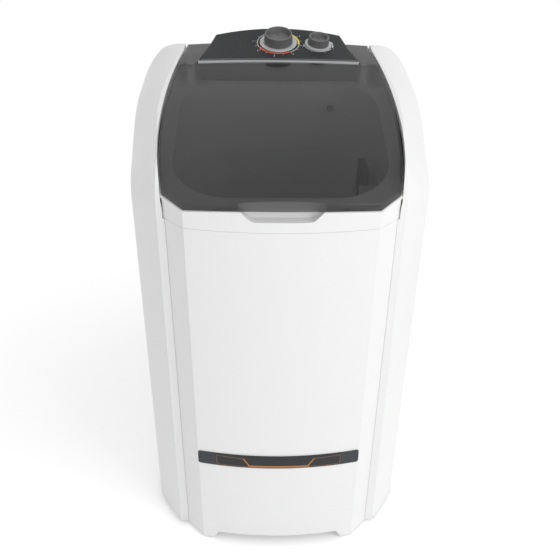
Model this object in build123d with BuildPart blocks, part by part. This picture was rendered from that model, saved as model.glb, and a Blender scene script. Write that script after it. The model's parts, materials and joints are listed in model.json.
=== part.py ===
"""Semi-automatic washing machine: a top-loading tub in a moulded cabinet, driven by one belt.

Millimetres. Origin on the floor under the middle of the cabinet, front towards -Y, up +Z.
"""

import math
import os

from build123d import *

os.makedirs("parts", exist_ok=True)

# Moulding
WALL = 3.0
DRAFT = 0.5
JOINT_GAP = 0.4
SEAT_GAP = 0.3

# Cabinet in plan, at the floor
FRONT_REACH, FRONT_BOW, FRONT_CORNER_X = 279.0, 20.0, 164.5
GROOVE_X, GROOVE_REACH = 204.0, 216.0
BAND_REACH, BAND_X_FOOT, BAND_X_SHOULDER = 220.0, 218.0, 222.0
FLANK_X, FLANK_REACH, FLANK_BULGE = 272.0, 132.0, 2.5
SIDE_X, SIDE_MID_Y = 289.0, 130.0
BACK_REACH, BACK_CORNER, BACK_ROLL = 270.0, 45.0, 22.0
FLANGE_DEPTH = 18.0

# Cabinet in side view
PANEL_FOOT = 10.0
SEAM_HEIGHT = 772.0
SHOULDER_HEIGHT = 783.0
ARCH_SLOPE = 13.2
TOP_LIMIT = 1010.0
TOE_HALF, TOE_HEIGHT, TOE_SLOPE = 130.0, 24.0, 14.0

# Ridge of each side arch, front to back: place, half-width, depth and bulge of the flank below it
RIDGE_STATIONS = [
    (-80.0, 231.0, 83.0, 2.5),
    (0.0, 237.0, 78.0, 3.0),
    (100.0, 231.0, 62.0, 6.0),
    (180.0, 219.0, 64.0, 10.0),
    (262.0, 204.0, 66.0, 15.0),
    (330.0, 192.0, 68.0, 16.0),
]

# Lid
LID_REACH, LID_BOW, LID_CORNER_X = 289.0, 23.0, 171.0
LID_SHOULDER_X, LID_SHOULDER_Y = 211.0, -223.0
LID_WIDEST_X, LID_WIDEST_Y = 227.0, -40.0
LID_EAR_X, LID_EAR_Y = 202.0, 232.0
LID_BACK_X, LID_BACK_Y = 200.7, 270.0
LID_MID_HEIGHT, LID_PITCH, LID_SWEEP = 930.0, 15.4, 2000.0
LID_CROWN_FRONT, LID_CROWN_MIDDLE, LID_CROWN_BACK = 1000.0, 1500.0, 2900.0
LID_THICK, LID_RIM, LID_EDGE_ROLL, LID_CORNER_TURN = 3.0, 12.0, 7.0, 15.0
LID_SIDE_GAP = 2.5
LID_REST = 3.0

# Lid hinge
HINGE_Y, HINGE_HEIGHT = 252.0, 942.0
HINGE_PIN, HINGE_PIN_LENGTH, HINGE_FIT = 8.0, 34.0, 0.05
HINGE_LUG_X, HINGE_LUG_WIDE, HINGE_LUG_R = 158.0, 12.0, 9.0
HINGE_POST_WIDE = 14.0
EAR_SILL = 6.0

# Deck under the lid, and the tub mouth
DECK_FRONT_HEIGHT, DECK_SLOPE, DECK_BACK_HEIGHT = 794.0, 16.1, 912.0
TUB_Y, TUB_HALF_X, TUB_FRONT, TUB_BACK = -40.0, 200.0, 226.0, 142.0
TUB_TOP_TURN = 105.0
TUB_RIM_HEIGHT, TUB_RIM_LIP = 768.0, 14.0
HANDLE_TOP_HALF, HANDLE_FOOT_HALF, HANDLE_FOOT, HANDLE_DEPTH, HANDLE_TURN = 75.0, 54.0, 792.0, 22.0, 20.0

# Tub below the mouth
TUB_FLOOR, TUB_FLOOR_THICK, TUB_BASE_R = 266.0, 4.0, 165.0
TUB_WALL = 3.0

# Rear panel
REAR_HALF, REAR_LIP = 150.0, 14.0
SERVICE_HALF, SERVICE_FOOT, SERVICE_TOP, SERVICE_LAP = 72.0, 76.0, 390.0, 11.0
REAR_TOP = DECK_BACK_HEIGHT - WALL - SEAT_GAP

# Console
CONSOLE_FRONT_Y, CONSOLE_BACK_Y = 163.0, 280.0
CONSOLE_FRONT_HALF, CONSOLE_BACK_HALF = 166.0, 137.0
CONSOLE_FRONT_HEIGHT, CONSOLE_PITCH = 960.0, 17.6
CONSOLE_WALL, CONSOLE_BOW = 2.5, 5.0
CONSOLE_CROWN_FRONT, CONSOLE_CROWN_BACK = 2700.0, 750.0
FACE_THICK, FACE_SEAT, FACE_MARGIN, TRIM_WIDE = 1.2, 1.5, 3.0, 3.0
TIMER_X, SELECTOR_X, KNOBS_Y = 0.0, 86.0, 222.0
TIMER_KNOB_R, TIMER_RING_R, TIMER_KNOB_TALL = 31.0, 40.0, 19.0
SELECTOR_KNOB_R, SELECTOR_RING_R, SELECTOR_KNOB_TALL = 23.0, 29.0, 15.5
RING_TALL, KNOB_RUN_GAP, KNOB_LIP = 2.0, 0.8, 4.5
KNOB_SHAFT, SHAFT_CLEAR = 6.0, 0.05

# Front strip
STRIP_HALF, STRIP_FOOT, STRIP_TALL, STRIP_PROUD, STRIP_TURN = 167.0, 228.0, 32.0, 2.0, 5.0

# Drive under the tub
SHAFT_D, SHAFT_FOOT, SHAFT_TOP = 16.0, 140.0, 292.0
HOUSING_FLANGE_R, HOUSING_FLANGE_THICK, HOUSING_BARREL_R, HOUSING_FOOT = 75.0, 6.0, 25.0, 196.0
HOUSING_RIBS, HOUSING_BOLT_R = 6, 62.0
BUSH_OUTER, BUSH_TALL, BUSH_FIT = 28.0, 18.0, 0.04
SEAL_OUTER, SEAL_TALL = 40.0, 9.0
IMPELLER_R, IMPELLER_CLEAR, IMPELLER_VANES = 148.0, 3.0, 4
BIG_PULLEY_R, SMALL_PULLEY_R, PULLEY_TALL, PULLEY_FOOT = 130.0, 25.0, 18.0, 156.0
BELT_WIDE, BELT_THICK, BELT_RUN_GAP = 9.0, 7.0, 0.3
MOTOR_Y, MOTOR_R, MOTOR_FOOT, MOTOR_TOP = 160.0, 64.0, 64.0, 146.0
MOTOR_SHAFT_D = 12.0

# Base
BASE_TOP, BASE_FLOOR, BASE_FLOOR_THICK = 62.0, 34.0, 4.0
FOOT_R, FOOT_TALL, FOOT_X, FOOT_FRONT_Y, FOOT_BACK_Y = 20.0, 16.0, 196.0, -150.0, 205.0

# Drain, water inlet and cord inlet
HOSE_OUTER, HOSE_INNER, DRAIN_TURN = 16.0, 13.0, 24.0
DRAIN_X, DRAIN_Y, DRAIN_LEVEL, HOSE_BACK_Y, SPIGOT_LAP = -104.0, 44.0, 222.0, 214.0, 16.0
OUTLET_Z, OUTLET_REACH, OUTLET_FLANGE_R, HOSE_FIT = 130.0, 18.0, 19.0, 0.05
INLET_X, INLET_Z, INLET_R, INLET_BORE, INLET_REACH = 110.0, 862.0, 13.2, 9.0, 11.5
SPOUT_R, SPOUT_LIP = 11.0, 12.0
CORD_X, CORD_Z, CORD_BORE, CORD_BUSH_R = 116.0, 150.0, 4.0, 9.0
HARNESS_R, HARNESS_Y, HARNESS_TURN = 4.0, 236.0, 10.0

# Lint filter, on the right wall of the tub
FILTER_X, FILTER_Y, FILTER_WIDE, FILTER_TALL, FILTER_THICK, FILTER_FOOT = 165.0, 5.0, 74.0, 176.0, 14.0, 610.0
CHANNEL_WALL, CHANNEL_LAP = 3.0, 4.0

# Screws
SCREW_D, SCREW_HEAD_D, SCREW_HEAD_TALL, SCREW_LONG, HOUSING_SCREW_LONG = 4.0, 8.0, 2.5, 14.0, 9.0


def flare(height):
    """Outward draft of the cabinet walls at a height."""
    return height * math.tan(math.radians(DRAFT))


SIDE_BOW = SIDE_X - FLANK_X
SIDE_RADIUS = ((SIDE_MID_Y + FLANK_REACH) ** 2 + SIDE_BOW**2) / (2 * SIDE_BOW)
SHOULDER_Y = -FLANK_REACH - flare(SHOULDER_HEIGHT)
SHOULDER_RADIUS = BAND_REACH - FLANK_REACH
LEAN = math.radians(ARCH_SLOPE)


def wall_x(y, height=0.0):
    """Half-width of the cabinet's bowed side wall."""
    return SIDE_X - SIDE_RADIUS + math.sqrt(SIDE_RADIUS**2 - (y - SIDE_MID_Y) ** 2) + flare(height)


def arch_height(y):
    """Height of the sloping top of the side arches."""
    return SHOULDER_HEIGHT + SHOULDER_RADIUS / math.cos(LEAN) + (y - SHOULDER_Y) * math.tan(LEAN)


def level(height):
    """A horizontal sketch plane."""
    return Plane.XY.offset(height)


def cabinet_outline(height, inset):
    """Plan of the cabinet behind the front panel, with its drafted walls moved in by inset."""
    grow = flare(height) - inset
    front, back, turn_y = -BAND_REACH - grow, BACK_REACH + grow, BACK_REACH - BACK_CORNER
    corner_x = wall_x(turn_y) - BACK_CORNER
    with BuildSketch(level(height)) as outline:
        with BuildLine():
            Line((0, front), (wall_x(-BAND_REACH) + grow, front))
            ThreePointArc((wall_x(-BAND_REACH) + grow, front), (SIDE_X + grow, SIDE_MID_Y),
                          (wall_x(turn_y) + grow, turn_y))
            RadiusArc((wall_x(turn_y) + grow, turn_y), (corner_x, back), -(BACK_CORNER + grow))
            Line((corner_x, back), (0, back))
            mirror(about=Plane.YZ)
        make_face()
    return outline.sketch


def flank_section(plane, outer_x, ridge_x, depth, bulge, inset, past_outer):
    """Everything outside the flank: a bulged line from the wall to the ridge, and a wide margin."""
    margin = 40.0
    span = math.hypot(outer_x - ridge_x, depth)
    along_x, along_v = (ridge_x - outer_x) / span, depth / span
    out_x, out_v = along_v, -along_x
    foot_x, foot_v = outer_x - out_x * inset, -out_v * inset
    top_x, top_v = ridge_x - out_x * inset, depth - out_v * inset
    fall = 4 * bulge / span
    pull_x, pull_v = (foot_x + top_x) / 2 + 2 * out_x * bulge, (foot_v + top_v) / 2 + 2 * out_v * bulge
    start_x = foot_x - (along_x + out_x * fall) * margin
    start_v = foot_v - (along_v + out_v * fall) * margin
    end_x, end_v = top_x + (along_x - out_x * fall) * margin, top_v + (along_v - out_v * fall) * margin
    with BuildSketch(plane) as section:
        with BuildLine():
            Line((start_x, start_v), (foot_x, foot_v))
            Bezier((foot_x, foot_v), (pull_x, pull_v), (top_x, top_v))
            Polyline((top_x, top_v), (end_x, end_v), (start_x + margin, end_v), (start_x + margin, start_v),
                     (start_x, start_v))
        make_face()
        if not past_outer:
            Rectangle(2 * TOP_LIMIT, TOP_LIMIT, align=(Align.CENTER, Align.MIN), mode=Mode.INTERSECT)
    return section.sketch


def flank_cutters(inset):
    """Three solids that shape the right flank: upright, round the shoulder and along the slope."""

    def down(y, height):
        return Plane(origin=(0, y, height), x_dir=(1, 0, 0), z_dir=(0, 0, -1))

    below = -PANEL_FOOT
    shoulder_x = FLANK_X + flare(SHOULDER_HEIGHT)
    with BuildPart() as upright:
        add(flank_section(down(-FLANK_REACH - flare(below), below), FLANK_X + flare(below), BAND_X_FOOT,
                          SHOULDER_RADIUS, FLANK_BULGE, inset, True))
        add(flank_section(down(SHOULDER_Y, SHOULDER_HEIGHT), shoulder_x, BAND_X_SHOULDER,
                          SHOULDER_RADIUS, FLANK_BULGE, inset, True))
        loft(ruled=True)
    with BuildPart() as shoulder:
        add(flank_section(down(SHOULDER_Y, SHOULDER_HEIGHT), shoulder_x, BAND_X_SHOULDER,
                          SHOULDER_RADIUS, FLANK_BULGE, inset, False))
        revolve(axis=Axis((0, SHOULDER_Y, SHOULDER_HEIGHT), (-1, 0, 0)), revolution_arc=90 - ARCH_SLOPE)
    across = (0, -math.cos(LEAN), -math.sin(LEAN))
    with BuildPart() as slope:
        add(flank_section(Plane(origin=(0, SHOULDER_Y, SHOULDER_HEIGHT), x_dir=(1, 0, 0), z_dir=across),
                          shoulder_x, BAND_X_SHOULDER, SHOULDER_RADIUS, FLANK_BULGE, inset, True))
        for ridge_y, ridge_x, depth, bulge in RIDGE_STATIONS:
            foot_y = ridge_y + depth * math.sin(LEAN)
            foot_z = arch_height(ridge_y) - depth * math.cos(LEAN)
            foot_x = wall_x(min(foot_y, BACK_REACH - BACK_CORNER), foot_z) + 1
            add(flank_section(Plane(origin=(0, foot_y, foot_z), x_dir=(1, 0, 0), z_dir=across),
                              foot_x, ridge_x, depth, bulge, inset, True))
        loft()
    return upright.part, shoulder.part, slope.part


def cabinet_solid(inset):
    """The cabinet's outer form as one solid, with every face moved in by inset."""
    radius, turn = SHOULDER_RADIUS - inset, math.radians(90 - ARCH_SLOPE)
    front_y = SHOULDER_Y - radius
    crest = (SHOULDER_Y - radius * math.cos(turn), SHOULDER_HEIGHT + radius * math.sin(turn))
    back_y = BACK_REACH + flare(TOP_LIMIT) - inset
    roll_y = back_y - BACK_ROLL
    roll_z = crest[1] + (roll_y - crest[0]) * math.tan(LEAN)
    roll_mid = (roll_y + BACK_ROLL * math.sin(math.radians(45)), roll_z - BACK_ROLL * (1 - math.cos(math.radians(45))))
    far = 400.0
    with BuildPart() as body:
        add(cabinet_outline(0, inset))
        add(cabinet_outline(TOP_LIMIT, inset))
        loft(ruled=True)
        with BuildSketch(Plane.YZ):
            with BuildLine():
                ThreePointArc((front_y, SHOULDER_HEIGHT),
                              (SHOULDER_Y - radius * math.cos(turn / 2), SHOULDER_HEIGHT + radius * math.sin(turn / 2)),
                              crest)
                Line(crest, (roll_y, roll_z))
                ThreePointArc((roll_y, roll_z), roll_mid, (back_y, roll_z - BACK_ROLL))
                Polyline((back_y, roll_z - BACK_ROLL), (far, roll_z - BACK_ROLL), (far, -PANEL_FOOT),
                         (-far, -PANEL_FOOT), (-far, SHOULDER_HEIGHT), (front_y, SHOULDER_HEIGHT))
            make_face()
        extrude(amount=far, both=True, mode=Mode.INTERSECT)
        for cutter in flank_cutters(inset):
            add(cutter, mode=Mode.SUBTRACT)
            add(mirror(cutter, about=Plane.YZ, mode=Mode.PRIVATE), mode=Mode.SUBTRACT)
    return body.part


def lid_outline(grow=0.0):
    """Plan of the lid: bowed front, cut corners and long swept sides."""
    corner_y = -LID_REACH + LID_BOW
    front_rise, back_rise = LID_WIDEST_Y - LID_SHOULDER_Y, LID_EAR_Y - LID_WIDEST_Y
    front_draw, back_draw = LID_WIDEST_X - LID_SHOULDER_X, LID_WIDEST_X - LID_EAR_X
    with BuildSketch() as outline:
        with BuildLine():
            Line((LID_CORNER_X, corner_y), (LID_SHOULDER_X, LID_SHOULDER_Y))
            RadiusArc((LID_SHOULDER_X, LID_SHOULDER_Y), (LID_WIDEST_X, LID_WIDEST_Y),
                      -(front_rise**2 + front_draw**2) / (2 * front_draw))
            RadiusArc((LID_WIDEST_X, LID_WIDEST_Y), (LID_EAR_X, LID_EAR_Y),
                      -(back_rise**2 + back_draw**2) / (2 * back_draw))
            Line((LID_EAR_X, LID_EAR_Y), (LID_BACK_X, LID_BACK_Y))
            mirror(about=Plane.YZ)
            ThreePointArc((-LID_CORNER_X, corner_y), (0, -LID_REACH), (LID_CORNER_X, corner_y))
            Line((LID_BACK_X, LID_BACK_Y), (-LID_BACK_X, LID_BACK_Y))
        make_face()
        if grow:
            offset(amount=grow, kind=Kind.INTERSECTION)
    return outline.sketch


def under_lid(drop):
    """All space below the lid's crowned top face, lowered by drop, down to well inside the cabinet."""
    pitch = math.radians(LID_PITCH)
    hub_y, hub_z = LID_SWEEP * math.sin(pitch), LID_MID_HEIGHT - LID_SWEEP * math.cos(pitch)
    half, deep = 250.0, 420.0
    front, middle, back = LID_CROWN_FRONT, LID_CROWN_MIDDLE, LID_CROWN_BACK
    with BuildPart() as space:
        for turn, crown in ((26.0, front), (20.5, front), (15.0, middle), (9.5, back), (4.0, back)):
            turn = math.radians(turn)
            flatten = LID_BACK_X**2 / 2 * (1 / front - 1 / crown)
            top = LID_SWEEP - drop - flatten
            edge = top - (crown - drop - math.sqrt((crown - drop) ** 2 - half**2))
            plane = Plane(origin=(0, hub_y, hub_z), x_dir=(1, 0, 0), z_dir=(0, -math.cos(turn), -math.sin(turn)))
            with BuildSketch(plane):
                with BuildLine():
                    ThreePointArc((-half, edge), (0, top), (half, edge))
                    Polyline((half, edge), (half, LID_SWEEP - deep), (-half, LID_SWEEP - deep), (-half, edge))
                make_face()
        loft()
    return space.part


def front_outline(height, inset, back_y):
    """Plan of the front panel: a bowed face, two slanted corners and straight returns."""
    grow = flare(height)
    corner_y = -FRONT_REACH + FRONT_BOW - grow
    with BuildSketch(level(height)) as outline:
        with BuildLine():
            ThreePointArc((-FRONT_CORNER_X - grow, corner_y), (0, -FRONT_REACH - grow),
                          (FRONT_CORNER_X + grow, corner_y))
            Polyline((FRONT_CORNER_X + grow, corner_y), (GROOVE_X + grow, -GROOVE_REACH - grow),
                     (GROOVE_X + grow, back_y), (-GROOVE_X - grow, back_y),
                     (-GROOVE_X - grow, -GROOVE_REACH - grow), (-FRONT_CORNER_X - grow, corner_y))
        make_face()
        if inset:
            offset(amount=-inset, kind=Kind.INTERSECTION)
    return outline.sketch


def front_form(foot, top, inset, back_y=-BAND_REACH / 2):
    """The front panel's outer form as one solid between two heights."""
    with BuildPart() as form:
        add(front_outline(foot, inset, back_y))
        add(front_outline(top, inset, back_y))
        loft(ruled=True)
    return form.part


def prism(sketch, foot, top):
    """A flat outline pulled straight up between two heights."""
    with BuildPart() as column:
        with BuildSketch(level(foot)):
            add(sketch)
        extrude(amount=top - foot)
    return column.part


def save(piece, name):
    """Label a finished piece and write its file."""
    piece.label = name
    export_step(piece, f"parts/{name}.step")


def screws(places, long, name):
    """Pan-head screws as separate solids: each place gives the seat under a head and its direction."""
    with BuildPart() as group:
        for seat, way in places:
            with BuildSketch(Plane(origin=seat, z_dir=way)):
                Circle(SCREW_HEAD_D / 2)
            extrude(amount=SCREW_HEAD_TALL)
            with BuildSketch(Plane(origin=seat, z_dir=way)):
                Circle(SCREW_D / 2)
            extrude(amount=-long)
    save(group.part, name)


def screw_bores(places, long, room):
    """The holes for a group of screws, wider than their shanks by room."""
    with BuildPart() as group:
        for seat, way in places:
            with BuildSketch(Plane(origin=seat, z_dir=way)):
                Circle(SCREW_D / 2 + room)
            extrude(amount=-long, both=True)
    return group.part


# Cabinet shell, from which the side and rear panels are parted
BAND_FLANGE_Y = -BAND_REACH + FLANGE_DEPTH
front_window = front_form(-PANEL_FOOT, TOP_LIMIT, -JOINT_GAP)
lid_window = prism(lid_outline(LID_SIDE_GAP), SEAM_HEIGHT, TOP_LIMIT)
cabinet_inside = cabinet_solid(WALL)
with BuildPart() as cabinet:
    add(cabinet_solid(0))
    add(cabinet_inside, mode=Mode.SUBTRACT)
    with Locations((0, 0, PANEL_FOOT)):
        Box(TOP_LIMIT, TOP_LIMIT, 4 * PANEL_FOOT, align=(Align.CENTER, Align.CENTER, Align.MAX), mode=Mode.SUBTRACT)
    add(front_window, mode=Mode.SUBTRACT)
    add(lid_window, mode=Mode.SUBTRACT)
    with Locations((0, LID_BACK_Y, REAR_TOP)):
        Box(2 * (LID_BACK_X + LID_SIDE_GAP), 4 * BACK_ROLL, TOP_LIMIT,
            align=(Align.CENTER, Align.CENTER, Align.MIN), mode=Mode.SUBTRACT)

# Side panels: flank and arch, with a return flange behind the front groove and one down beside the lid
groove_flange_x = GROOVE_X + JOINT_GAP
with BuildPart() as groove_flange:
    for height in (PANEL_FOOT, SHOULDER_HEIGHT):
        with BuildSketch(level(height)):
            with Locations((groove_flange_x + flare(height), -BAND_REACH - flare(height) + WALL / 2)):
                Rectangle(WALL, FLANGE_DEPTH + flare(height) - WALL / 2, align=(Align.MIN, Align.MIN))
    loft(ruled=True)
with BuildPart() as lid_flange:
    with BuildSketch(level(SHOULDER_HEIGHT + LID_RIM)):
        add(lid_outline(LID_SIDE_GAP + WALL))
        add(lid_outline(LID_SIDE_GAP), mode=Mode.SUBTRACT)
    extrude(amount=TOP_LIMIT - SHOULDER_HEIGHT)
    add(cabinet_solid(WALL / 2), mode=Mode.INTERSECT)
    add(cabinet_inside.moved(Location((0, 0, -LID_RIM))), mode=Mode.SUBTRACT)
    with Locations((0, LID_BACK_Y, REAR_TOP)):
        Box(2 * (LID_BACK_X + LID_SIDE_GAP), 4 * BACK_ROLL, TOP_LIMIT,
            align=(Align.CENTER, Align.CENTER, Align.MIN), mode=Mode.SUBTRACT)
with BuildPart() as side_panel:
    add(cabinet.part)
    add(lid_flange.part)
    with Locations((0, 0, 0)):
        Box(TOP_LIMIT, TOP_LIMIT, 3 * TOP_LIMIT, align=(Align.MAX, Align.CENTER, Align.CENTER), mode=Mode.SUBTRACT)
    with Locations((0, BACK_REACH, 0)):
        Box(2 * REAR_HALF, 4 * BACK_CORNER, 3 * TOP_LIMIT, mode=Mode.SUBTRACT)
    add(groove_flange.part)
save(side_panel.part, "side_panel_right")
save(mirror(side_panel.part, about=Plane.YZ), "side_panel_left")

# Rear panel: fills the back between the side panels, lapping inside them
with BuildPart() as rear_panel:
    add(cabinet.part)
    with Locations((0, BACK_REACH, 0)):
        Box(2 * (REAR_HALF - SEAT_GAP), 4 * BACK_CORNER, 3 * TOP_LIMIT, mode=Mode.INTERSECT)
with BuildPart() as rear_laps:
    for height in (PANEL_FOOT, REAR_TOP):
        inner_y = BACK_REACH + flare(height) - WALL - SEAT_GAP
        with BuildSketch(level(height)):
            with Locations((0, inner_y)):
                Rectangle(2 * (REAR_HALF + REAR_LIP), WALL, align=(Align.CENTER, Align.MAX))
                Rectangle(2 * (REAR_HALF - SEAT_GAP), WALL, align=(Align.CENTER, Align.MIN))
    loft(ruled=True)
    with Locations((0, BACK_REACH, 0)):
        Box(2 * (REAR_HALF - REAR_LIP), 4 * BACK_CORNER, 3 * TOP_LIMIT, mode=Mode.SUBTRACT)
cover_y = BACK_REACH + flare(SERVICE_TOP) + SEAT_GAP
service_screws = [((x, cover_y + WALL, z), (0, 1, 0)) for x in (-SERVICE_HALF - SERVICE_LAP / 2, SERVICE_HALF + SERVICE_LAP / 2)
                  for z in (SERVICE_FOOT + 12, (SERVICE_FOOT + SERVICE_TOP) / 2, SERVICE_TOP - 12)]
screws(service_screws, SCREW_LONG, "service_cover_screws")
with BuildPart() as rear_wall:
    add(rear_panel.part)
    add(rear_laps.part)
    with BuildSketch(Plane.XZ.offset(-BACK_REACH)):
        with Locations((0, (SERVICE_FOOT + SERVICE_TOP) / 2)):
            RectangleRounded(2 * SERVICE_HALF, SERVICE_TOP - SERVICE_FOOT, 15)
    extrude(amount=30, both=True, mode=Mode.SUBTRACT)
    for bore_x, bore_z, bore_r in ((DRAIN_X, OUTLET_Z, HOSE_INNER), (INLET_X, INLET_Z, INLET_R),
                                   (CORD_X, CORD_Z, CORD_BUSH_R)):
        with BuildSketch(Plane.XZ.offset(-BACK_REACH)):
            with Locations((bore_x, bore_z)):
                Circle(bore_r + SEAT_GAP)
        extrude(amount=30, both=True, mode=Mode.SUBTRACT)
    add(screw_bores(service_screws, SCREW_LONG, 0), mode=Mode.SUBTRACT)
save(rear_wall.part, "rear_panel")

# Service cover over the drive, with its vents
VENT_ROWS, VENT_TALL, VENT_PITCH, VENT_HALF = 6, 5.0, 13.0, 60.0
with BuildPart() as service_cover:
    with BuildSketch(Plane.XZ.offset(-cover_y)):
        with Locations((0, (SERVICE_FOOT + SERVICE_TOP) / 2)):
            RectangleRounded(2 * (SERVICE_HALF + SERVICE_LAP), SERVICE_TOP - SERVICE_FOOT + 2 * SERVICE_LAP, 20)
    extrude(amount=-WALL)
    fillet(service_cover.faces().sort_by(Axis.Y)[-1].outer_wire().edges(), 1.5)
    with BuildSketch(Plane.XZ.offset(-cover_y)):
        with Locations((0, SERVICE_TOP - 60)):
            with GridLocations(1, VENT_PITCH, 1, VENT_ROWS):
                SlotOverall(2 * VENT_HALF, VENT_TALL)
    extrude(amount=-2 * WALL, mode=Mode.SUBTRACT)
    add(screw_bores(service_screws, SCREW_LONG, SEAT_GAP), mode=Mode.SUBTRACT)
save(service_cover.part, "rear_service_cover")

# Front panel: bowed shell open at the back, with a toe cut-out and returns behind the grooves
def front_shell(foot, top):
    """The bowed front wall, its slanted corners and its returns, between two heights."""
    with BuildPart() as shell:
        add(front_form(foot, top, 0))
        add(front_form(foot, top, WALL), mode=Mode.SUBTRACT)
        with Locations((0, BAND_FLANGE_Y, 0)):
            Box(TOP_LIMIT, TOP_LIMIT, 3 * TOP_LIMIT, align=(Align.CENTER, Align.MIN, Align.CENTER),
                mode=Mode.SUBTRACT)
    return shell.part


with BuildPart() as front_panel:
    add(front_shell(PANEL_FOOT / 2, SEAM_HEIGHT))
    with BuildSketch(Plane.XZ):
        with BuildLine():
            Polyline((-TOE_HALF - TOE_SLOPE, 0), (-TOE_HALF, TOE_HEIGHT), (TOE_HALF, TOE_HEIGHT),
                     (TOE_HALF + TOE_SLOPE, 0), (-TOE_HALF - TOE_SLOPE, 0))
        make_face()
    extrude(amount=TOP_LIMIT, both=True, mode=Mode.SUBTRACT)
save(front_panel.part, "front_panel")

# Dark trim strip across the lower front
with BuildPart() as front_strip:
    add(front_form(STRIP_FOOT - 20, STRIP_FOOT + STRIP_TALL + 20, -STRIP_PROUD - SEAT_GAP))
    add(front_form(STRIP_FOOT - 20, STRIP_FOOT + STRIP_TALL + 20, -SEAT_GAP), mode=Mode.SUBTRACT)
    with BuildSketch(Plane.XZ.offset(BAND_REACH)):
        with Locations((0, STRIP_FOOT + STRIP_TALL / 2)):
            RectangleRounded(2 * STRIP_HALF, STRIP_TALL, STRIP_TURN)
    extrude(amount=BAND_REACH, mode=Mode.INTERSECT)
save(front_strip.part, "front_strip")

# Lid: a crowned smoked shell with a turned-down rim, cut back round the console
CUTOUT_GAP = 6.0


def console_outline(grow=0.0):
    """Plan of the console: narrower at the back, with bowed front and rear edges."""
    front, back = CONSOLE_FRONT_Y - grow, CONSOLE_BACK_Y + grow
    with BuildSketch() as outline:
        with BuildLine():
            ThreePointArc((-CONSOLE_FRONT_HALF - grow, front), (0, front - CONSOLE_BOW),
                          (CONSOLE_FRONT_HALF + grow, front))
            Line((CONSOLE_FRONT_HALF + grow, front), (CONSOLE_BACK_HALF + grow, back - CONSOLE_BOW))
            ThreePointArc((CONSOLE_BACK_HALF + grow, back - CONSOLE_BOW), (0, back),
                          (-CONSOLE_BACK_HALF - grow, back - CONSOLE_BOW))
            Line((-CONSOLE_BACK_HALF - grow, back - CONSOLE_BOW), (-CONSOLE_FRONT_HALF - grow, front))
        make_face()
    return outline.sketch


def front_corners(form):
    """The upright edges at the lid's two front corners on each side."""
    return form.edges().filter_by(Axis.Z).filter_by(lambda edge: edge.center().Y < LID_SHOULDER_Y + 10)


def top_edges(form):
    """The edges round the lid's top face, without the upright ones."""
    return [edge for edge in form.edges() if edge.center().Z > SEAM_HEIGHT + 30
            and abs(edge.tangent_at(0.5).Z) < 0.95]


console_bay = prism(console_outline(CUTOUT_GAP), TUB_FLOOR, TOP_LIMIT + 60)
with BuildPart() as lid_form:
    add(prism(lid_outline(), SEAM_HEIGHT, TOP_LIMIT))
    add(under_lid(0), mode=Mode.INTERSECT)
    fillet(front_corners(lid_form), LID_CORNER_TURN)
    fillet(top_edges(lid_form), LID_EDGE_ROLL)
with BuildPart() as lid_hollow:
    add(prism(lid_outline(-LID_THICK), SEAM_HEIGHT - 1, TOP_LIMIT))
    add(under_lid(LID_THICK), mode=Mode.INTERSECT)
    fillet(front_corners(lid_hollow), LID_CORNER_TURN - LID_THICK)
    fillet(top_edges(lid_hollow), LID_EDGE_ROLL - LID_THICK)
with BuildPart() as lid:
    add(lid_form.part)
    add(lid_hollow.part, mode=Mode.SUBTRACT)
    add(under_lid(LID_RIM), mode=Mode.SUBTRACT)
    add(console_bay, mode=Mode.SUBTRACT)

# Hinge: a lug under each ear of the lid turns on a pin held in a post on the deck
lug_mid_x = HINGE_LUG_X + HINGE_LUG_WIDE / 2
pin_mid_x = lug_mid_x + (HINGE_PIN_LENGTH - HINGE_LUG_WIDE) / 2


def along_x(x):
    """A sketch plane across X: local right is +Y and local up is +Z."""
    return Plane.YZ.offset(x)


with BuildPart() as lug:
    with BuildSketch(along_x(HINGE_LUG_X)):
        with Locations((HINGE_Y, HINGE_HEIGHT)):
            Circle(HINGE_LUG_R)
            Rectangle(2 * HINGE_LUG_R, 60, align=(Align.CENTER, Align.MIN))
    extrude(amount=HINGE_LUG_WIDE)
    add(under_lid(LID_THICK / 2), mode=Mode.INTERSECT)
    with BuildSketch(along_x(HINGE_LUG_X)):
        with Locations((HINGE_Y, HINGE_HEIGHT)):
            Circle(HINGE_PIN / 2)
    extrude(amount=HINGE_LUG_WIDE, mode=Mode.SUBTRACT)
with BuildPart() as hinged_lid:
    add(lid.part)
    add(lug.part)
    add(mirror(lug.part, about=Plane.YZ, mode=Mode.PRIVATE))
    with Locations((0, HINGE_Y, HINGE_HEIGHT)):
        Cylinder(HINGE_PIN / 2, 2 * (HINGE_LUG_X + HINGE_LUG_WIDE), rotation=(0, 90, 0), mode=Mode.SUBTRACT)
save(hinged_lid.part, "lid")

with BuildPart() as hinge_pin:
    with Locations((pin_mid_x, HINGE_Y, HINGE_HEIGHT)):
        Cylinder(HINGE_PIN / 2, HINGE_PIN_LENGTH, rotation=(0, 90, 0))
    chamfer(hinge_pin.edges().filter_by(GeomType.CIRCLE), 0.8)
save(hinge_pin.part, "hinge_pin_right")
save(mirror(hinge_pin.part, about=Plane.YZ), "hinge_pin_left")

# Top frame: deck, mouth collar, rim, hinge posts and the front skirt with its hand recess
DECK_THICK, RIM_WALL = 3.0, 2.5


def mouth_outline(inset=0.0):
    """Plan of the tub's mouth: a rounded square, bowed at the front."""
    with BuildSketch() as outline:
        with Locations((0, (TUB_BACK - TUB_FRONT) / 2)):
            RectangleRounded(2 * (TUB_HALF_X - inset), TUB_FRONT + TUB_BACK - 2 * inset, TUB_TOP_TURN - inset)
    return outline.sketch


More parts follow.
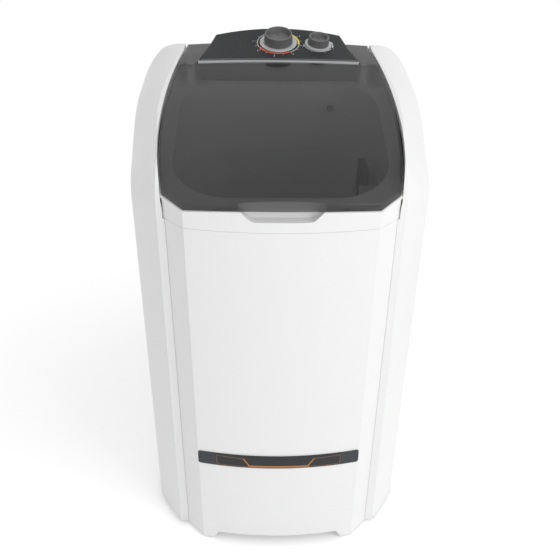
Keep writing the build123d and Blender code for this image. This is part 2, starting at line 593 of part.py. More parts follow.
def deck_space(drop):
    """All space below the deck's top face, lowered by drop."""
    level_from = (DECK_BACK_HEIGHT - DECK_FRONT_HEIGHT) / math.tan(math.radians(DECK_SLOPE)) - LID_REACH
    far_y = LID_REACH + 40
    with BuildPart() as space:
        with BuildSketch(Plane.YZ):
            with BuildLine():
                Polyline((-LID_REACH, DECK_FRONT_HEIGHT - drop), (level_from, DECK_BACK_HEIGHT - drop),
                         (far_y, DECK_BACK_HEIGHT - drop), (far_y, TUB_FLOOR), (-LID_REACH, TUB_FLOOR),
                         (-LID_REACH, DECK_FRONT_HEIGHT - drop))
            make_face()
        extrude(amount=TOP_LIMIT / 2, both=True)
    return space.part


frame_top = under_lid(LID_RIM + LID_REST)
with BuildPart() as past_front:
    with Locations((0, LID_SHOULDER_Y, 0)):
        Box(TOP_LIMIT, TOP_LIMIT, 3 * TOP_LIMIT, align=(Align.CENTER, Align.MAX, Align.CENTER))
    add(front_form(SEAM_HEIGHT - WALL, TOP_LIMIT, 0), mode=Mode.SUBTRACT)
with BuildPart() as deck_column:
    add(prism(lid_outline(LID_SIDE_GAP - SEAT_GAP), SEAM_HEIGHT + JOINT_GAP, TOP_LIMIT))
    with Locations((0, BACK_REACH + flare(REAR_TOP), 0)):
        Box(TOP_LIMIT, TOP_LIMIT, 3 * TOP_LIMIT, align=(Align.CENTER, Align.MIN, Align.CENTER), mode=Mode.SUBTRACT)
    add(past_front.part, mode=Mode.SUBTRACT)
with BuildPart() as rim:
    add(deck_column.part)
    add(frame_top, mode=Mode.INTERSECT)
    add(deck_space(DECK_THICK), mode=Mode.SUBTRACT)
    add(prism(lid_outline(LID_SIDE_GAP - SEAT_GAP - RIM_WALL), SEAM_HEIGHT, TOP_LIMIT), mode=Mode.SUBTRACT)
with BuildPart() as deck:
    add(deck_column.part)
    add(deck_space(0), mode=Mode.INTERSECT)
    add(deck_space(DECK_THICK), mode=Mode.SUBTRACT)
with BuildPart() as skirt:
    add(front_form(SEAM_HEIGHT + JOINT_GAP, DECK_FRONT_HEIGHT + 25, 0))
    add(front_form(SEAM_HEIGHT, DECK_FRONT_HEIGHT + 26, WALL), mode=Mode.SUBTRACT)
    with Locations((0, BAND_FLANGE_Y, 0)):
        Box(TOP_LIMIT, TOP_LIMIT, 3 * TOP_LIMIT, align=(Align.CENTER, Align.MIN, Align.CENTER), mode=Mode.SUBTRACT)
    add(frame_top, mode=Mode.INTERSECT)
with BuildPart() as collar:
    add(prism(mouth_outline(-WALL), TUB_RIM_HEIGHT + SEAT_GAP, TOP_LIMIT))
    add(deck_space(0), mode=Mode.INTERSECT)
    with BuildSketch(level(TUB_RIM_HEIGHT + SEAT_GAP)):
        add(mouth_outline(-TUB_RIM_LIP))
    extrude(amount=WALL)
with BuildPart() as top_frame:
    add(deck.part)
    add(rim.part)
    add(skirt.part)
    add(collar.part)
    add(prism(mouth_outline(), SEAM_HEIGHT - 20, TOP_LIMIT), mode=Mode.SUBTRACT)
    with Locations((0, LID_BACK_Y - 15, DECK_BACK_HEIGHT + EAR_SILL)):
        Box(2 * LID_WIDEST_X, 4 * BACK_ROLL, TOP_LIMIT, align=(Align.CENTER, Align.MIN, Align.MIN),
            mode=Mode.SUBTRACT)
    add(prism(console_outline(SEAT_GAP), DECK_BACK_HEIGHT, TOP_LIMIT), mode=Mode.SUBTRACT)

# Hand recess under the front edge of the lid
recess_back = -FRONT_REACH - flare(SEAM_HEIGHT) + HANDLE_DEPTH


def recess_form(inset):
    """The scooped hollow, as a solid."""
    with BuildPart() as form:
        with BuildSketch(Plane.XZ.offset(-recess_back)):
            with BuildLine():
                top_z, foot_z = DECK_FRONT_HEIGHT + 40, HANDLE_FOOT - inset
                Polyline((-HANDLE_TOP_HALF - inset, top_z), (-HANDLE_TOP_HALF - inset, foot_z + 22),
                         (-HANDLE_FOOT_HALF - inset, foot_z), (HANDLE_FOOT_HALF + inset, foot_z),
                         (HANDLE_TOP_HALF + inset, foot_z + 22), (HANDLE_TOP_HALF + inset, top_z),
                         (-HANDLE_TOP_HALF - inset, top_z))
            make_face()
        extrude(amount=60)
        fillet(form.edges().filter_by(Axis.Y).group_by(Axis.Z)[0], HANDLE_TURN)
    return form.part


with BuildPart() as pocket:
    add(recess_form(RIM_WALL).moved(Location((0, RIM_WALL, 0))))
    add(front_form(SEAM_HEIGHT + JOINT_GAP, TOP_LIMIT, 0), mode=Mode.INTERSECT)
    add(frame_top, mode=Mode.INTERSECT)
with BuildPart() as finished_frame:
    add(top_frame.part)
    add(pocket.part)
    add(recess_form(0), mode=Mode.SUBTRACT)
    for side in (-1, 1):
        post_x = side * (HINGE_LUG_X + HINGE_LUG_WIDE + SEAT_GAP + HINGE_POST_WIDE / 2 + JOINT_GAP)
        with BuildSketch(along_x(post_x - HINGE_POST_WIDE / 2)):
            with Locations((HINGE_Y, DECK_BACK_HEIGHT - DECK_THICK)):
                Rectangle(2 * HINGE_LUG_R, HINGE_HEIGHT - DECK_BACK_HEIGHT + DECK_THICK,
                          align=(Align.CENTER, Align.MIN))
            with Locations((HINGE_Y, HINGE_HEIGHT)):
                Circle(HINGE_LUG_R)
        extrude(amount=HINGE_POST_WIDE)
    with Locations((0, HARNESS_Y, DECK_BACK_HEIGHT)):
        Cylinder(2 * HARNESS_R, 4 * DECK_THICK, mode=Mode.SUBTRACT)
    with BuildSketch(Plane.XZ.offset(-TUB_BACK)):
        with Locations((INLET_X, INLET_Z)):
            Circle(SPOUT_R + SEAT_GAP)
    extrude(amount=3 * WALL, both=True, mode=Mode.SUBTRACT)
    with Locations((0, HINGE_Y, HINGE_HEIGHT)):
        Cylinder(HINGE_PIN / 2 + HINGE_FIT, 2 * (pin_mid_x + HINGE_PIN_LENGTH / 2), rotation=(0, 90, 0),
                 mode=Mode.SUBTRACT)
save(finished_frame.part, "top_frame")

# Screws that hold the bearing housing under the tub
tub_under = TUB_FLOOR - TUB_FLOOR_THICK
housing_screws = [((HOUSING_BOLT_R * math.cos(math.radians(turn)), TUB_Y + HOUSING_BOLT_R * math.sin(math.radians(turn)),
                    tub_under - HOUSING_FLANGE_THICK), (0, 0, -1)) for turn in range(45, 360, 90)]
screws(housing_screws, HOUSING_SCREW_LONG, "housing_screws")

# Wash tub: a tapered basin with a rolled lip and two channels for the lint filter


def tub_form(inset, foot, top):
    """The basin's tapered form between two heights."""
    def plan(height, extra):
        share = (height - TUB_FLOOR) / (TUB_RIM_HEIGHT - TUB_FLOOR)
        half_x = TUB_BASE_R + (TUB_HALF_X - TUB_BASE_R) * share - extra
        front = TUB_BASE_R - TUB_Y + (TUB_FRONT - TUB_BASE_R + TUB_Y) * share - extra
        back = TUB_BASE_R + TUB_Y + (TUB_BACK - TUB_BASE_R - TUB_Y) * share - extra
        turn = min(TUB_BASE_R + (TUB_TOP_TURN - TUB_BASE_R) * share - extra, half_x - 8, (front + back) / 2 - 8)
        with BuildSketch(level(height)) as outline:
            with Locations((0, (back - front) / 2)):
                RectangleRounded(2 * half_x, front + back, turn)
        return outline.sketch

    with BuildPart() as form:
        add(plan(foot, inset))
        add(plan(top, inset))
        loft(ruled=True)
    return form.part


channel_foot, channel_top = FILTER_FOOT - 12, TUB_RIM_HEIGHT - TUB_RIM_LIP
filter_back_x = FILTER_X + FILTER_THICK
with BuildPart() as filter_channels:
    for side in (-1, 1):
        edge_y = FILTER_Y + side * FILTER_WIDE / 2
        with BuildSketch(level(channel_foot)):
            with Locations((FILTER_X - CHANNEL_WALL, edge_y)):
                Rectangle(60, 2 * CHANNEL_LAP, align=(Align.MIN, Align.CENTER))
        extrude(amount=channel_top - channel_foot)
    with BuildSketch(level(FILTER_FOOT)):
        with Locations((FILTER_X - SEAT_GAP, FILTER_Y)):
            Rectangle(FILTER_THICK + 2 * SEAT_GAP, FILTER_WIDE + 2 * SEAT_GAP, align=(Align.MIN, Align.CENTER))
    extrude(amount=FILTER_TALL, mode=Mode.SUBTRACT)
    add(tub_form(TUB_WALL / 2, tub_under, TUB_RIM_HEIGHT), mode=Mode.INTERSECT)
with BuildPart() as wash_tub:
    add(tub_form(0, tub_under, TUB_RIM_HEIGHT))
    add(prism(mouth_outline(-TUB_RIM_LIP), TUB_RIM_HEIGHT - TUB_WALL, TUB_RIM_HEIGHT))
    add(tub_form(TUB_WALL, TUB_FLOOR, TUB_RIM_HEIGHT + 10), mode=Mode.SUBTRACT)
    with BuildSketch(level(TUB_FLOOR - TUB_FLOOR_THICK)):
        with Locations((0, TUB_Y)):
            Circle(SEAL_OUTER / 2 + SEAT_GAP)
        with Locations((DRAIN_X, DRAIN_Y)):
            Circle(HOSE_INNER - HOSE_FIT - 3)
    extrude(amount=3 * TUB_FLOOR_THICK, mode=Mode.SUBTRACT)
    add(screw_bores(housing_screws, HOUSING_SCREW_LONG, 0), mode=Mode.SUBTRACT)
    add(filter_channels.part)
save(wash_tub.part, "wash_tub")

# Console: a wedge-shaped housing on the back of the deck
pitch = math.radians(CONSOLE_PITCH)
console_foot = DECK_BACK_HEIGHT


def console_height(y):
    """Height of the middle line of the console's sloping top."""
    return CONSOLE_FRONT_HEIGHT + (y - CONSOLE_FRONT_Y) * math.tan(pitch)


def console_bend(y):
    """Sideways curvature of the console's top, which grows from its front edge to its back."""
    front, back = 1 / CONSOLE_CROWN_FRONT, 1 / CONSOLE_CROWN_BACK
    return front + (back - front) * (y - CONSOLE_FRONT_Y) / (CONSOLE_BACK_Y - CONSOLE_FRONT_Y)


def on_console(x, y, lift=0.0):
    """A sketch plane that touches the console's crowned top, lifted along its normal."""
    more_bend = (1 / CONSOLE_CROWN_BACK - 1 / CONSOLE_CROWN_FRONT) / (CONSOLE_BACK_Y - CONSOLE_FRONT_Y)
    fall_x, rise_y = x * console_bend(y), math.tan(pitch) - x**2 / 2 * more_bend
    away = Vector(fall_x, -rise_y, 1).normalized()
    spot = Vector(x, y, console_height(y) - x**2 / 2 * console_bend(y)) + away * lift
    return Plane(origin=spot, x_dir=(1, 0, -fall_x), z_dir=away)


def under_console(lift):
    """All space under the console's top, raised by lift, down to the deck."""
    rise, half = lift / math.cos(pitch), CONSOLE_FRONT_HALF + 20
    with BuildPart() as space:
        for y in (CONSOLE_FRONT_Y - 20, CONSOLE_BACK_Y + 20):
            top = console_height(y) + rise
            side = top - half**2 / 2 * console_bend(y)
            with BuildSketch(Plane.XZ.offset(-y)):
                with BuildLine():
                    ThreePointArc((-half, side), (0, top), (half, side))
                    Polyline((half, side), (half, console_foot), (-half, console_foot), (-half, side))
                make_face()
        loft(ruled=True)
    return space.part


with BuildPart() as console_hollow:
    add(prism(console_outline(-CONSOLE_WALL), console_foot - 1, TOP_LIMIT + 60))
    add(under_console(-CONSOLE_WALL - FACE_SEAT), mode=Mode.INTERSECT)
with BuildPart() as face_seat:
    add(prism(console_outline(-FACE_MARGIN), console_foot, TOP_LIMIT + 60))
    add(under_console(-FACE_SEAT), mode=Mode.SUBTRACT)
with BuildPart() as console_housing:
    add(prism(console_outline(), console_foot, TOP_LIMIT + 60))
    add(under_console(0), mode=Mode.INTERSECT)
    top_rim = console_housing.faces().filter_by(lambda face: face.normal_at().Z > 0.9).sort_by(Axis.Z)[-1]
    fillet(top_rim.outer_wire().edges(), 3)
    add(console_hollow.part, mode=Mode.SUBTRACT)
    add(face_seat.part, mode=Mode.SUBTRACT)
    for knob_x in (TIMER_X, SELECTOR_X):
        with BuildSketch(on_console(knob_x, KNOBS_Y)):
            Circle(KNOB_SHAFT / 2 + 2)
        extrude(amount=30, both=True, mode=Mode.SUBTRACT)
save(console_housing.part, "console_housing")

with BuildPart() as console_face:
    add(prism(console_outline(-FACE_MARGIN - JOINT_GAP / 2), console_foot, TOP_LIMIT + 60))
    add(under_console(-FACE_SEAT + FACE_THICK), mode=Mode.INTERSECT)
    add(under_console(-FACE_SEAT + SEAT_GAP), mode=Mode.SUBTRACT)
    for knob_x, ring_r in ((TIMER_X, TIMER_RING_R), (SELECTOR_X, SELECTOR_RING_R)):
        with BuildSketch(on_console(knob_x, KNOBS_Y)):
            Circle(ring_r - 6)
        extrude(amount=10, both=True, mode=Mode.SUBTRACT)
save(console_face.part, "console_face")

# Bright trim bar along the console's front edge
with BuildPart() as console_trim:
    add(prism(console_outline(TRIM_WIDE), console_foot + 30, TOP_LIMIT))
    add(prism(console_outline(SEAT_GAP / 3), console_foot, TOP_LIMIT + 1), mode=Mode.SUBTRACT)
    add(under_console(-2), mode=Mode.INTERSECT)
    add(under_console(-8), mode=Mode.SUBTRACT)
    with Locations((0, CONSOLE_FRONT_Y + 1, 0)):
        Box(TOP_LIMIT, TOP_LIMIT, 3 * TOP_LIMIT, align=(Align.CENTER, Align.MIN, Align.CENTER), mode=Mode.SUBTRACT)
save(console_trim.part, "console_trim")


def bezel(x, ring_r, name):
    """Raised light ring round a knob."""
    with BuildPart() as ring:
        with BuildSketch(on_console(x, KNOBS_Y, -FACE_SEAT)):
            Circle(ring_r - 6 - JOINT_GAP / 2)
            Circle(KNOB_SHAFT / 2 + 2, mode=Mode.SUBTRACT)
        extrude(amount=FACE_THICK + 0.1)
        with BuildSketch(on_console(x, KNOBS_Y, FACE_THICK - FACE_SEAT + 0.1)):
            Circle(ring_r)
            Circle(KNOB_SHAFT / 2 + 2, mode=Mode.SUBTRACT)
        extrude(amount=RING_TALL)
        upper_edges = ring.edges().filter_by(GeomType.CIRCLE).group_by(Axis.Z)[-1]
        fillet(upper_edges.sort_by(lambda edge: edge.radius)[-1], 1)
        add(under_console(-FACE_SEAT), mode=Mode.SUBTRACT)
    save(ring.part, name)


bezel(TIMER_X, TIMER_RING_R, "timer_bezel")
bezel(SELECTOR_X, SELECTOR_RING_R, "selector_bezel")
ring_top = FACE_THICK - FACE_SEAT + 0.1 + RING_TALL


def knob(x, radius, tall, name, shaft_from):
    """Cupped knob with a low pointer rib on its floor and its own drive shaft."""
    foot, cup_r, cup_deep = ring_top + KNOB_RUN_GAP, radius - KNOB_LIP, tall / 2
    with BuildPart() as turned:
        with BuildSketch(on_console(x, KNOBS_Y, foot)):
            Circle(radius)
        extrude(amount=tall, taper=5)
        with BuildSketch(on_console(x, KNOBS_Y, foot + tall)):
            Circle(cup_r)
        extrude(amount=-cup_deep, taper=20, mode=Mode.SUBTRACT)
        rims = turned.edges().filter_by(GeomType.CIRCLE).sort_by(Axis.Z)[-2:]
        fillet(rims, 1)
        with BuildSketch(on_console(x, KNOBS_Y, foot + tall - cup_deep - 1)):
            with Locations((0, cup_r * 0.45)):
                SlotOverall(cup_r * 0.5, 2.4, rotation=90)
        extrude(amount=2.5)
        with BuildSketch(on_console(x, KNOBS_Y, shaft_from)):
            Circle(KNOB_SHAFT / 2)
        extrude(amount=foot + 2 - shaft_from)
    save(turned.part, name)


SWITCH_DEPTH = 12.0
knob(TIMER_X, TIMER_KNOB_R, TIMER_KNOB_TALL, "timer_knob", -SWITCH_DEPTH)
knob(SELECTOR_X, SELECTOR_KNOB_R, SELECTOR_KNOB_TALL, "selector_knob", -SWITCH_DEPTH)

# Timer and selector switch under the console's top
TIMER_BODY, TIMER_BODY_TALL = 56.0, 34.0
SWITCH_BODY, SWITCH_BODY_TALL = 34.0, 24.0
unit_top = -CONSOLE_WALL - FACE_SEAT
with BuildPart() as timer_unit:
    with BuildSketch(on_console(TIMER_X, KNOBS_Y, unit_top)):
        RectangleRounded(TIMER_BODY, TIMER_BODY, 6)
    extrude(amount=-TIMER_BODY_TALL)
    add(under_console(unit_top), mode=Mode.INTERSECT)
    with BuildSketch(on_console(TIMER_X, KNOBS_Y, unit_top - TIMER_BODY_TALL)):
        with GridLocations(12, 0, 4, 1):
            Rectangle(1, 6)
    extrude(amount=-7)
    with BuildSketch(on_console(TIMER_X, KNOBS_Y, unit_top)):
        Circle(KNOB_SHAFT / 2 + SHAFT_CLEAR)
    extrude(amount=-SWITCH_DEPTH, mode=Mode.SUBTRACT)
save(timer_unit.part, "timer_unit")
with BuildPart() as selector_switch:
    with BuildSketch(on_console(SELECTOR_X, KNOBS_Y, unit_top)):
        RectangleRounded(SWITCH_BODY, SWITCH_BODY, 4)
    extrude(amount=-SWITCH_BODY_TALL)
    add(under_console(unit_top), mode=Mode.INTERSECT)
    with BuildSketch(on_console(SELECTOR_X, KNOBS_Y, unit_top - SWITCH_BODY_TALL)):
        with GridLocations(9, 0, 3, 1):
            Rectangle(1, 6)
    extrude(amount=-7)
    with BuildSketch(on_console(SELECTOR_X, KNOBS_Y, unit_top)):
        Circle(KNOB_SHAFT / 2 + SHAFT_CLEAR)
    extrude(amount=-SWITCH_DEPTH, mode=Mode.SUBTRACT)
save(selector_switch.part, "selector_switch")

# Drive: bearing housing bolted under the tub, with two bushes and a lip seal
drive_axis_y = TUB_Y


def upright_ring(outer, inner, foot, top, y=None):
    """A plain vertical sleeve on the drive axis, or at another place along Y."""
    with BuildPart() as sleeve:
        with BuildSketch(level(foot)):
            with Locations((0, drive_axis_y if y is None else y)):
                Circle(outer)
                if inner:
                    Circle(inner, mode=Mode.SUBTRACT)
        extrude(amount=top - foot)
    return sleeve.part


SCREW_BORE = 4.0
seal_foot = tub_under - HOUSING_FLANGE_THICK
with BuildPart() as bearing_housing:
    with BuildSketch(level(tub_under - HOUSING_FLANGE_THICK)):
        with Locations((0, drive_axis_y)):
            Circle(HOUSING_FLANGE_R)
            with PolarLocations(HOUSING_BOLT_R, 4, 45):
                Circle(SCREW_D / 2 + 1, mode=Mode.SUBTRACT)
    extrude(amount=HOUSING_FLANGE_THICK)
    with BuildSketch(level(HOUSING_FOOT)):
        with Locations((0, drive_axis_y)):
            Circle(HOUSING_BARREL_R)
    extrude(amount=tub_under - HOUSING_FOOT)
    with BuildSketch(Plane.XZ.offset(-drive_axis_y)):
        with BuildLine():
            Polyline((HOUSING_BARREL_R - 2, HOUSING_FOOT + 14), (HOUSING_FLANGE_R - 12, seal_foot + 1),
                     (HOUSING_BARREL_R - 2, seal_foot + 1), (HOUSING_BARREL_R - 2, HOUSING_FOOT + 14))
        make_face()
    rib = extrude(amount=2.5, both=True, mode=Mode.PRIVATE)
    with Locations(Location((0, 0, 0))):
        for turn in range(HOUSING_RIBS):
            add(rib.rotate(Axis((0, drive_axis_y, 0), (0, 0, 1)), turn * 360 / HOUSING_RIBS))
    add(upright_ring(BUSH_OUTER / 2, 0, HOUSING_FOOT, tub_under), mode=Mode.SUBTRACT)
    add(upright_ring(SEAL_OUTER / 2 + SEAT_GAP / 3, 0, seal_foot, tub_under + 1), mode=Mode.SUBTRACT)
save(bearing_housing.part, "bearing_housing")
bush_bore = SHAFT_D / 2 + BUSH_FIT
save(upright_ring(BUSH_OUTER / 2, bush_bore, seal_foot - BUSH_TALL - 2, seal_foot - 2), "upper_bush")
save(upright_ring(BUSH_OUTER / 2, bush_bore, HOUSING_FOOT, HOUSING_FOOT + BUSH_TALL), "lower_bush")
with BuildPart() as shaft_seal:
    add(upright_ring(SEAL_OUTER / 2, bush_bore + 0.02, seal_foot, seal_foot + SEAL_TALL))
    add(upright_ring(SEAL_OUTER / 2 - 4, SHAFT_D / 2 + 4, seal_foot + 3, seal_foot + SEAL_TALL), mode=Mode.SUBTRACT)
save(shaft_seal.part, "shaft_seal")

# Drive shaft: keyed at the foot for the pulley, a flat at the top for the impeller
FLAT_DEEP = 2.0
with BuildPart() as drive_shaft:
    add(upright_ring(SHAFT_D / 2, 0, SHAFT_FOOT, SHAFT_TOP))
    with Locations((0, drive_axis_y + SHAFT_D / 2 - FLAT_DEEP, SHAFT_TOP - 18)):
        Box(SHAFT_D, SHAFT_D, 20, align=(Align.CENTER, Align.MIN, Align.MIN), mode=Mode.SUBTRACT)
    add(upright_ring(SCREW_BORE, 0, SHAFT_TOP - 12, SHAFT_TOP + 1), mode=Mode.SUBTRACT)
    chamfer(drive_shaft.edges().filter_by(GeomType.CIRCLE).sort_by(Axis.Z)[0], 1)
save(drive_shaft.part, "drive_shaft")

# Impeller: a dished disc with swept vanes and a central cap, seated on the shaft
impeller_foot = TUB_FLOOR + IMPELLER_CLEAR
DISC_THICK, VANE_TALL, HUB_R, HUB_TALL = 6.0, 26.0, 34.0, 34.0
VANE_TIP, VANE_HALF_FOOT, VANE_HALF_TOP, VANE_SWEEP = IMPELLER_R - 8, 8.0, 4.0, 12.0
with BuildPart() as impeller_vane:
    for height, half, tip in ((impeller_foot + 2, VANE_HALF_FOOT, VANE_TIP),
                              (impeller_foot + 2 + VANE_TALL, VANE_HALF_TOP, VANE_TIP - VANE_HALF_FOOT)):
        with BuildSketch(level(height)):
            with Locations((0, drive_axis_y)):
                with BuildLine():
                    Bezier((10, -half), (tip / 2, -VANE_SWEEP - half), (tip, -half))
                    Bezier((tip, -half), (tip + half, 0), (tip, half))
                    Bezier((tip, half), (tip / 2, half - VANE_SWEEP), (10, half))
                    Line((10, half), (10, -half))
                make_face()
    loft(ruled=True)
with BuildPart() as impeller:
    with BuildSketch(Plane.XZ.offset(-drive_axis_y)):
        with BuildLine():
            Line((0, impeller_foot), (IMPELLER_R, impeller_foot))
            Line((IMPELLER_R, impeller_foot), (IMPELLER_R, impeller_foot + DISC_THICK - 1))
            ThreePointArc((IMPELLER_R, impeller_foot + DISC_THICK - 1), (IMPELLER_R * 0.6, impeller_foot + DISC_THICK + 1),
                          (HUB_R, impeller_foot + DISC_THICK + 7))
            ThreePointArc((HUB_R, impeller_foot + DISC_THICK + 7), (HUB_R * 0.7, impeller_foot + HUB_TALL - 6),
                          (0, impeller_foot + HUB_TALL))
            Line((0, impeller_foot + HUB_TALL), (0, impeller_foot))
        make_face()
    revolve(axis=Axis((0, drive_axis_y, 0), (0, 0, 1)))
    for turn in range(0, 360, 360 // IMPELLER_VANES):
        add(impeller_vane.part.rotate(Axis((0, drive_axis_y, 0), (0, 0, 1)), turn))
    with BuildSketch(level(impeller_foot)):
        with Locations((0, drive_axis_y)):
            Circle(SHAFT_D / 2)
    extrude(amount=SHAFT_TOP - impeller_foot, mode=Mode.SUBTRACT)
    with BuildSketch(level(SHAFT_TOP - 1)):
        with Locations((0, drive_axis_y)):
            Circle(SCREW_BORE)
    extrude(amount=60, mode=Mode.SUBTRACT)
    with BuildSketch(level(impeller_foot + HUB_TALL - 8)):
        with Locations((0, drive_axis_y)):
            Circle(9 + SEAT_GAP)
    extrude(amount=60, mode=Mode.SUBTRACT)
save(impeller.part, "impeller")

# Impeller screw, down through the hub into the shaft
with BuildPart() as impeller_screw:
    add(upright_ring(9, 0, impeller_foot + HUB_TALL - 8, impeller_foot + HUB_TALL - 4.5))
    add(upright_ring(4, 0, SHAFT_TOP - 12, impeller_foot + HUB_TALL - 8))
save(impeller_screw.part, "impeller_screw")


def vee_pulley(radius, bore, hub_r, hub_tall, y, spokes):
    """Pulley with a vee groove for the belt, a web with round windows and a hub."""
    with BuildPart() as pulley:
        groove_r = radius - BELT_THICK - BELT_RUN_GAP
        mid = PULLEY_FOOT + PULLEY_TALL / 2
        flare_z = (PULLEY_TALL - 3) / 2
        with BuildSketch(Plane.XZ.offset(-y)):
            with BuildLine():
                Polyline((bore, PULLEY_FOOT), (radius, PULLEY_FOOT), (radius, mid - flare_z),
                         (groove_r, mid - BELT_WIDE / 2 - BELT_RUN_GAP), (groove_r, mid + BELT_WIDE / 2 + BELT_RUN_GAP),
                         (radius, mid + flare_z), (radius, PULLEY_FOOT + PULLEY_TALL),
                         (bore, PULLEY_FOOT + PULLEY_TALL), (bore, PULLEY_FOOT))
            make_face()
        revolve(axis=Axis((0, y, 0), (0, 0, 1)))
        if spokes:
            rim_r = groove_r - 8
            for foot, tall in ((PULLEY_FOOT, 6), (PULLEY_FOOT + PULLEY_TALL - 6, 6)):
                with BuildSketch(level(foot)):
                    with Locations((0, y)):
                        Circle(rim_r)
                        Circle(hub_r, mode=Mode.SUBTRACT)
                extrude(amount=tall, mode=Mode.SUBTRACT)
            with BuildSketch(level(PULLEY_FOOT)):
                with Locations((0, y)):
                    with PolarLocations((rim_r + hub_r) / 2, spokes):
                        Circle((rim_r - hub_r) / 2 - 10)
            extrude(amount=PULLEY_TALL, mode=Mode.SUBTRACT)
        with BuildSketch(level(PULLEY_FOOT + PULLEY_TALL)):
            with Locations((0, y)):
                Circle(hub_r)
                Circle(bore, mode=Mode.SUBTRACT)
        extrude(amount=hub_tall)
    return pulley.part


driven_pulley = vee_pulley(BIG_PULLEY_R, SHAFT_D / 2, 24.0, 8.0, drive_axis_y, 5)
save(driven_pulley, "driven_pulley")
motor_pulley = vee_pulley(SMALL_PULLEY_R, MOTOR_SHAFT_D / 2, 11.0, 4.0, MOTOR_Y, 0)
save(motor_pulley, "motor_pulley")
NUT_ACROSS, NUT_TALL = 24.0, 9.0
with BuildPart() as pulley_nut:
    with BuildSketch(level(PULLEY_FOOT - NUT_TALL)):
        with Locations((0, drive_axis_y)):
            RegularPolygon(NUT_ACROSS / 2, 6, major_radius=False)
            Circle(SHAFT_D / 2, mode=Mode.SUBTRACT)
    extrude(amount=NUT_TALL)
save(pulley_nut.part, "pulley_nut")

# Belt round both pulleys
belt_mid = PULLEY_FOOT + PULLEY_TALL / 2
with BuildPart() as drive_belt:
    for outer, mode in ((0.0, Mode.ADD), (BELT_THICK, Mode.SUBTRACT)):
        with BuildSketch(level(belt_mid - BELT_WIDE / 2)):
            with Locations((0, drive_axis_y)):
                Circle(BIG_PULLEY_R - outer)
            with Locations((0, MOTOR_Y)):
                Circle(SMALL_PULLEY_R - outer)
            make_hull()
        extrude(amount=BELT_WIDE, mode=mode)
save(drive_belt.part, "drive_belt")

# Motor: ribbed shell, end bell, shaft and four feet on rubber mounts
MOTOR_RIBS, MOTOR_FOOT_R, MOTOR_FOOT_REACH = 16, 12.0, 74.0
BELL_TALL, BELL_R = 12.0, 50.0
with BuildPart() as motor_body:
    with BuildSketch(level(MOTOR_FOOT)):
        with Locations((0, MOTOR_Y)):
            Circle(MOTOR_R)
            with PolarLocations(MOTOR_R + 1, MOTOR_RIBS):
                Rectangle(6, 6, mode=Mode.SUBTRACT)
    extrude(amount=MOTOR_TOP - MOTOR_FOOT - BELL_TALL)
    with BuildSketch(level(MOTOR_TOP - BELL_TALL)):
        with Locations((0, MOTOR_Y)):
            Circle(BELL_R)
    extrude(amount=BELL_TALL - 4, taper=20)
    with BuildSketch(level(MOTOR_FOOT)):
        with Locations((0, MOTOR_Y)):
            with PolarLocations(MOTOR_FOOT_REACH, 4, 45):
                RectangleRounded(2 * MOTOR_FOOT_R + 14, 2 * MOTOR_FOOT_R, 6)
            with PolarLocations(MOTOR_FOOT_REACH + 2, 4, 45):
                Circle(SCREW_D / 2 + 0.5, mode=Mode.SUBTRACT)
    extrude(amount=4)
    add(upright_ring(MOTOR_SHAFT_D / 2 + 0.05, 0, MOTOR_FOOT + 20, MOTOR_TOP + 5, MOTOR_Y), mode=Mode.SUBTRACT)
save(motor_body.part, "motor_body")
save(upright_ring(MOTOR_SHAFT_D / 2, 0, MOTOR_FOOT + 20, PULLEY_FOOT + PULLEY_TALL + 8, MOTOR_Y), "motor_shaft")

# Motor bracket across the base, with its rubber mounts and bolts
BRACKET_THICK, MOUNT_TALL = 3.0, 12.0
bracket_top = MOTOR_FOOT - MOUNT_TALL
bracket_half = MOTOR_FOOT_REACH + 24
with BuildPart() as motor_bracket:
    with BuildSketch(level(bracket_top - BRACKET_THICK)):
        with Locations((0, MOTOR_Y)):
            RectangleRounded(2 * bracket_half, 160, 10)
            Circle(40, mode=Mode.SUBTRACT)
            with PolarLocations(MOTOR_FOOT_REACH + 2, 4, 45):
                Circle(SCREW_D / 2 + 0.5, mode=Mode.SUBTRACT)
    extrude(amount=BRACKET_THICK)
    for side in (-1, 1):
        with Locations((side * (bracket_half - BRACKET_THICK / 2), MOTOR_Y, BASE_FLOOR)):
            Box(BRACKET_THICK, 130, bracket_top - BASE_FLOOR, align=(Align.CENTER, Align.CENTER, Align.MIN))
save(motor_bracket.part, "motor_bracket")
with BuildPart() as motor_mounts:
    with BuildSketch(level(bracket_top)):
        with Locations((0, MOTOR_Y)):
            with PolarLocations(MOTOR_FOOT_REACH + 2, 4, 45):
                Circle(MOTOR_FOOT_R - 1)
                Circle(SCREW_D / 2 + 0.5, mode=Mode.SUBTRACT)
    extrude(amount=MOUNT_TALL)
save(motor_mounts.part, "motor_mounts")
with BuildPart() as motor_bolts:
    with Locations((0, MOTOR_Y, 0)):
        with PolarLocations(MOTOR_FOOT_REACH + 2, 4, 45):
            with Locations((0, 0, MOTOR_FOOT + 4)):
                Cylinder(SCREW_HEAD_D / 2, 3, align=(Align.CENTER, Align.CENTER, Align.MIN))
            with Locations((0, 0, bracket_top - BRACKET_THICK - 4)):
                Cylinder(SCREW_D / 2, MOTOR_FOOT + 8 + BRACKET_THICK - bracket_top,
                         align=(Align.CENTER, Align.CENTER, Align.MIN))
save(motor_bolts.part, "motor_bolts")

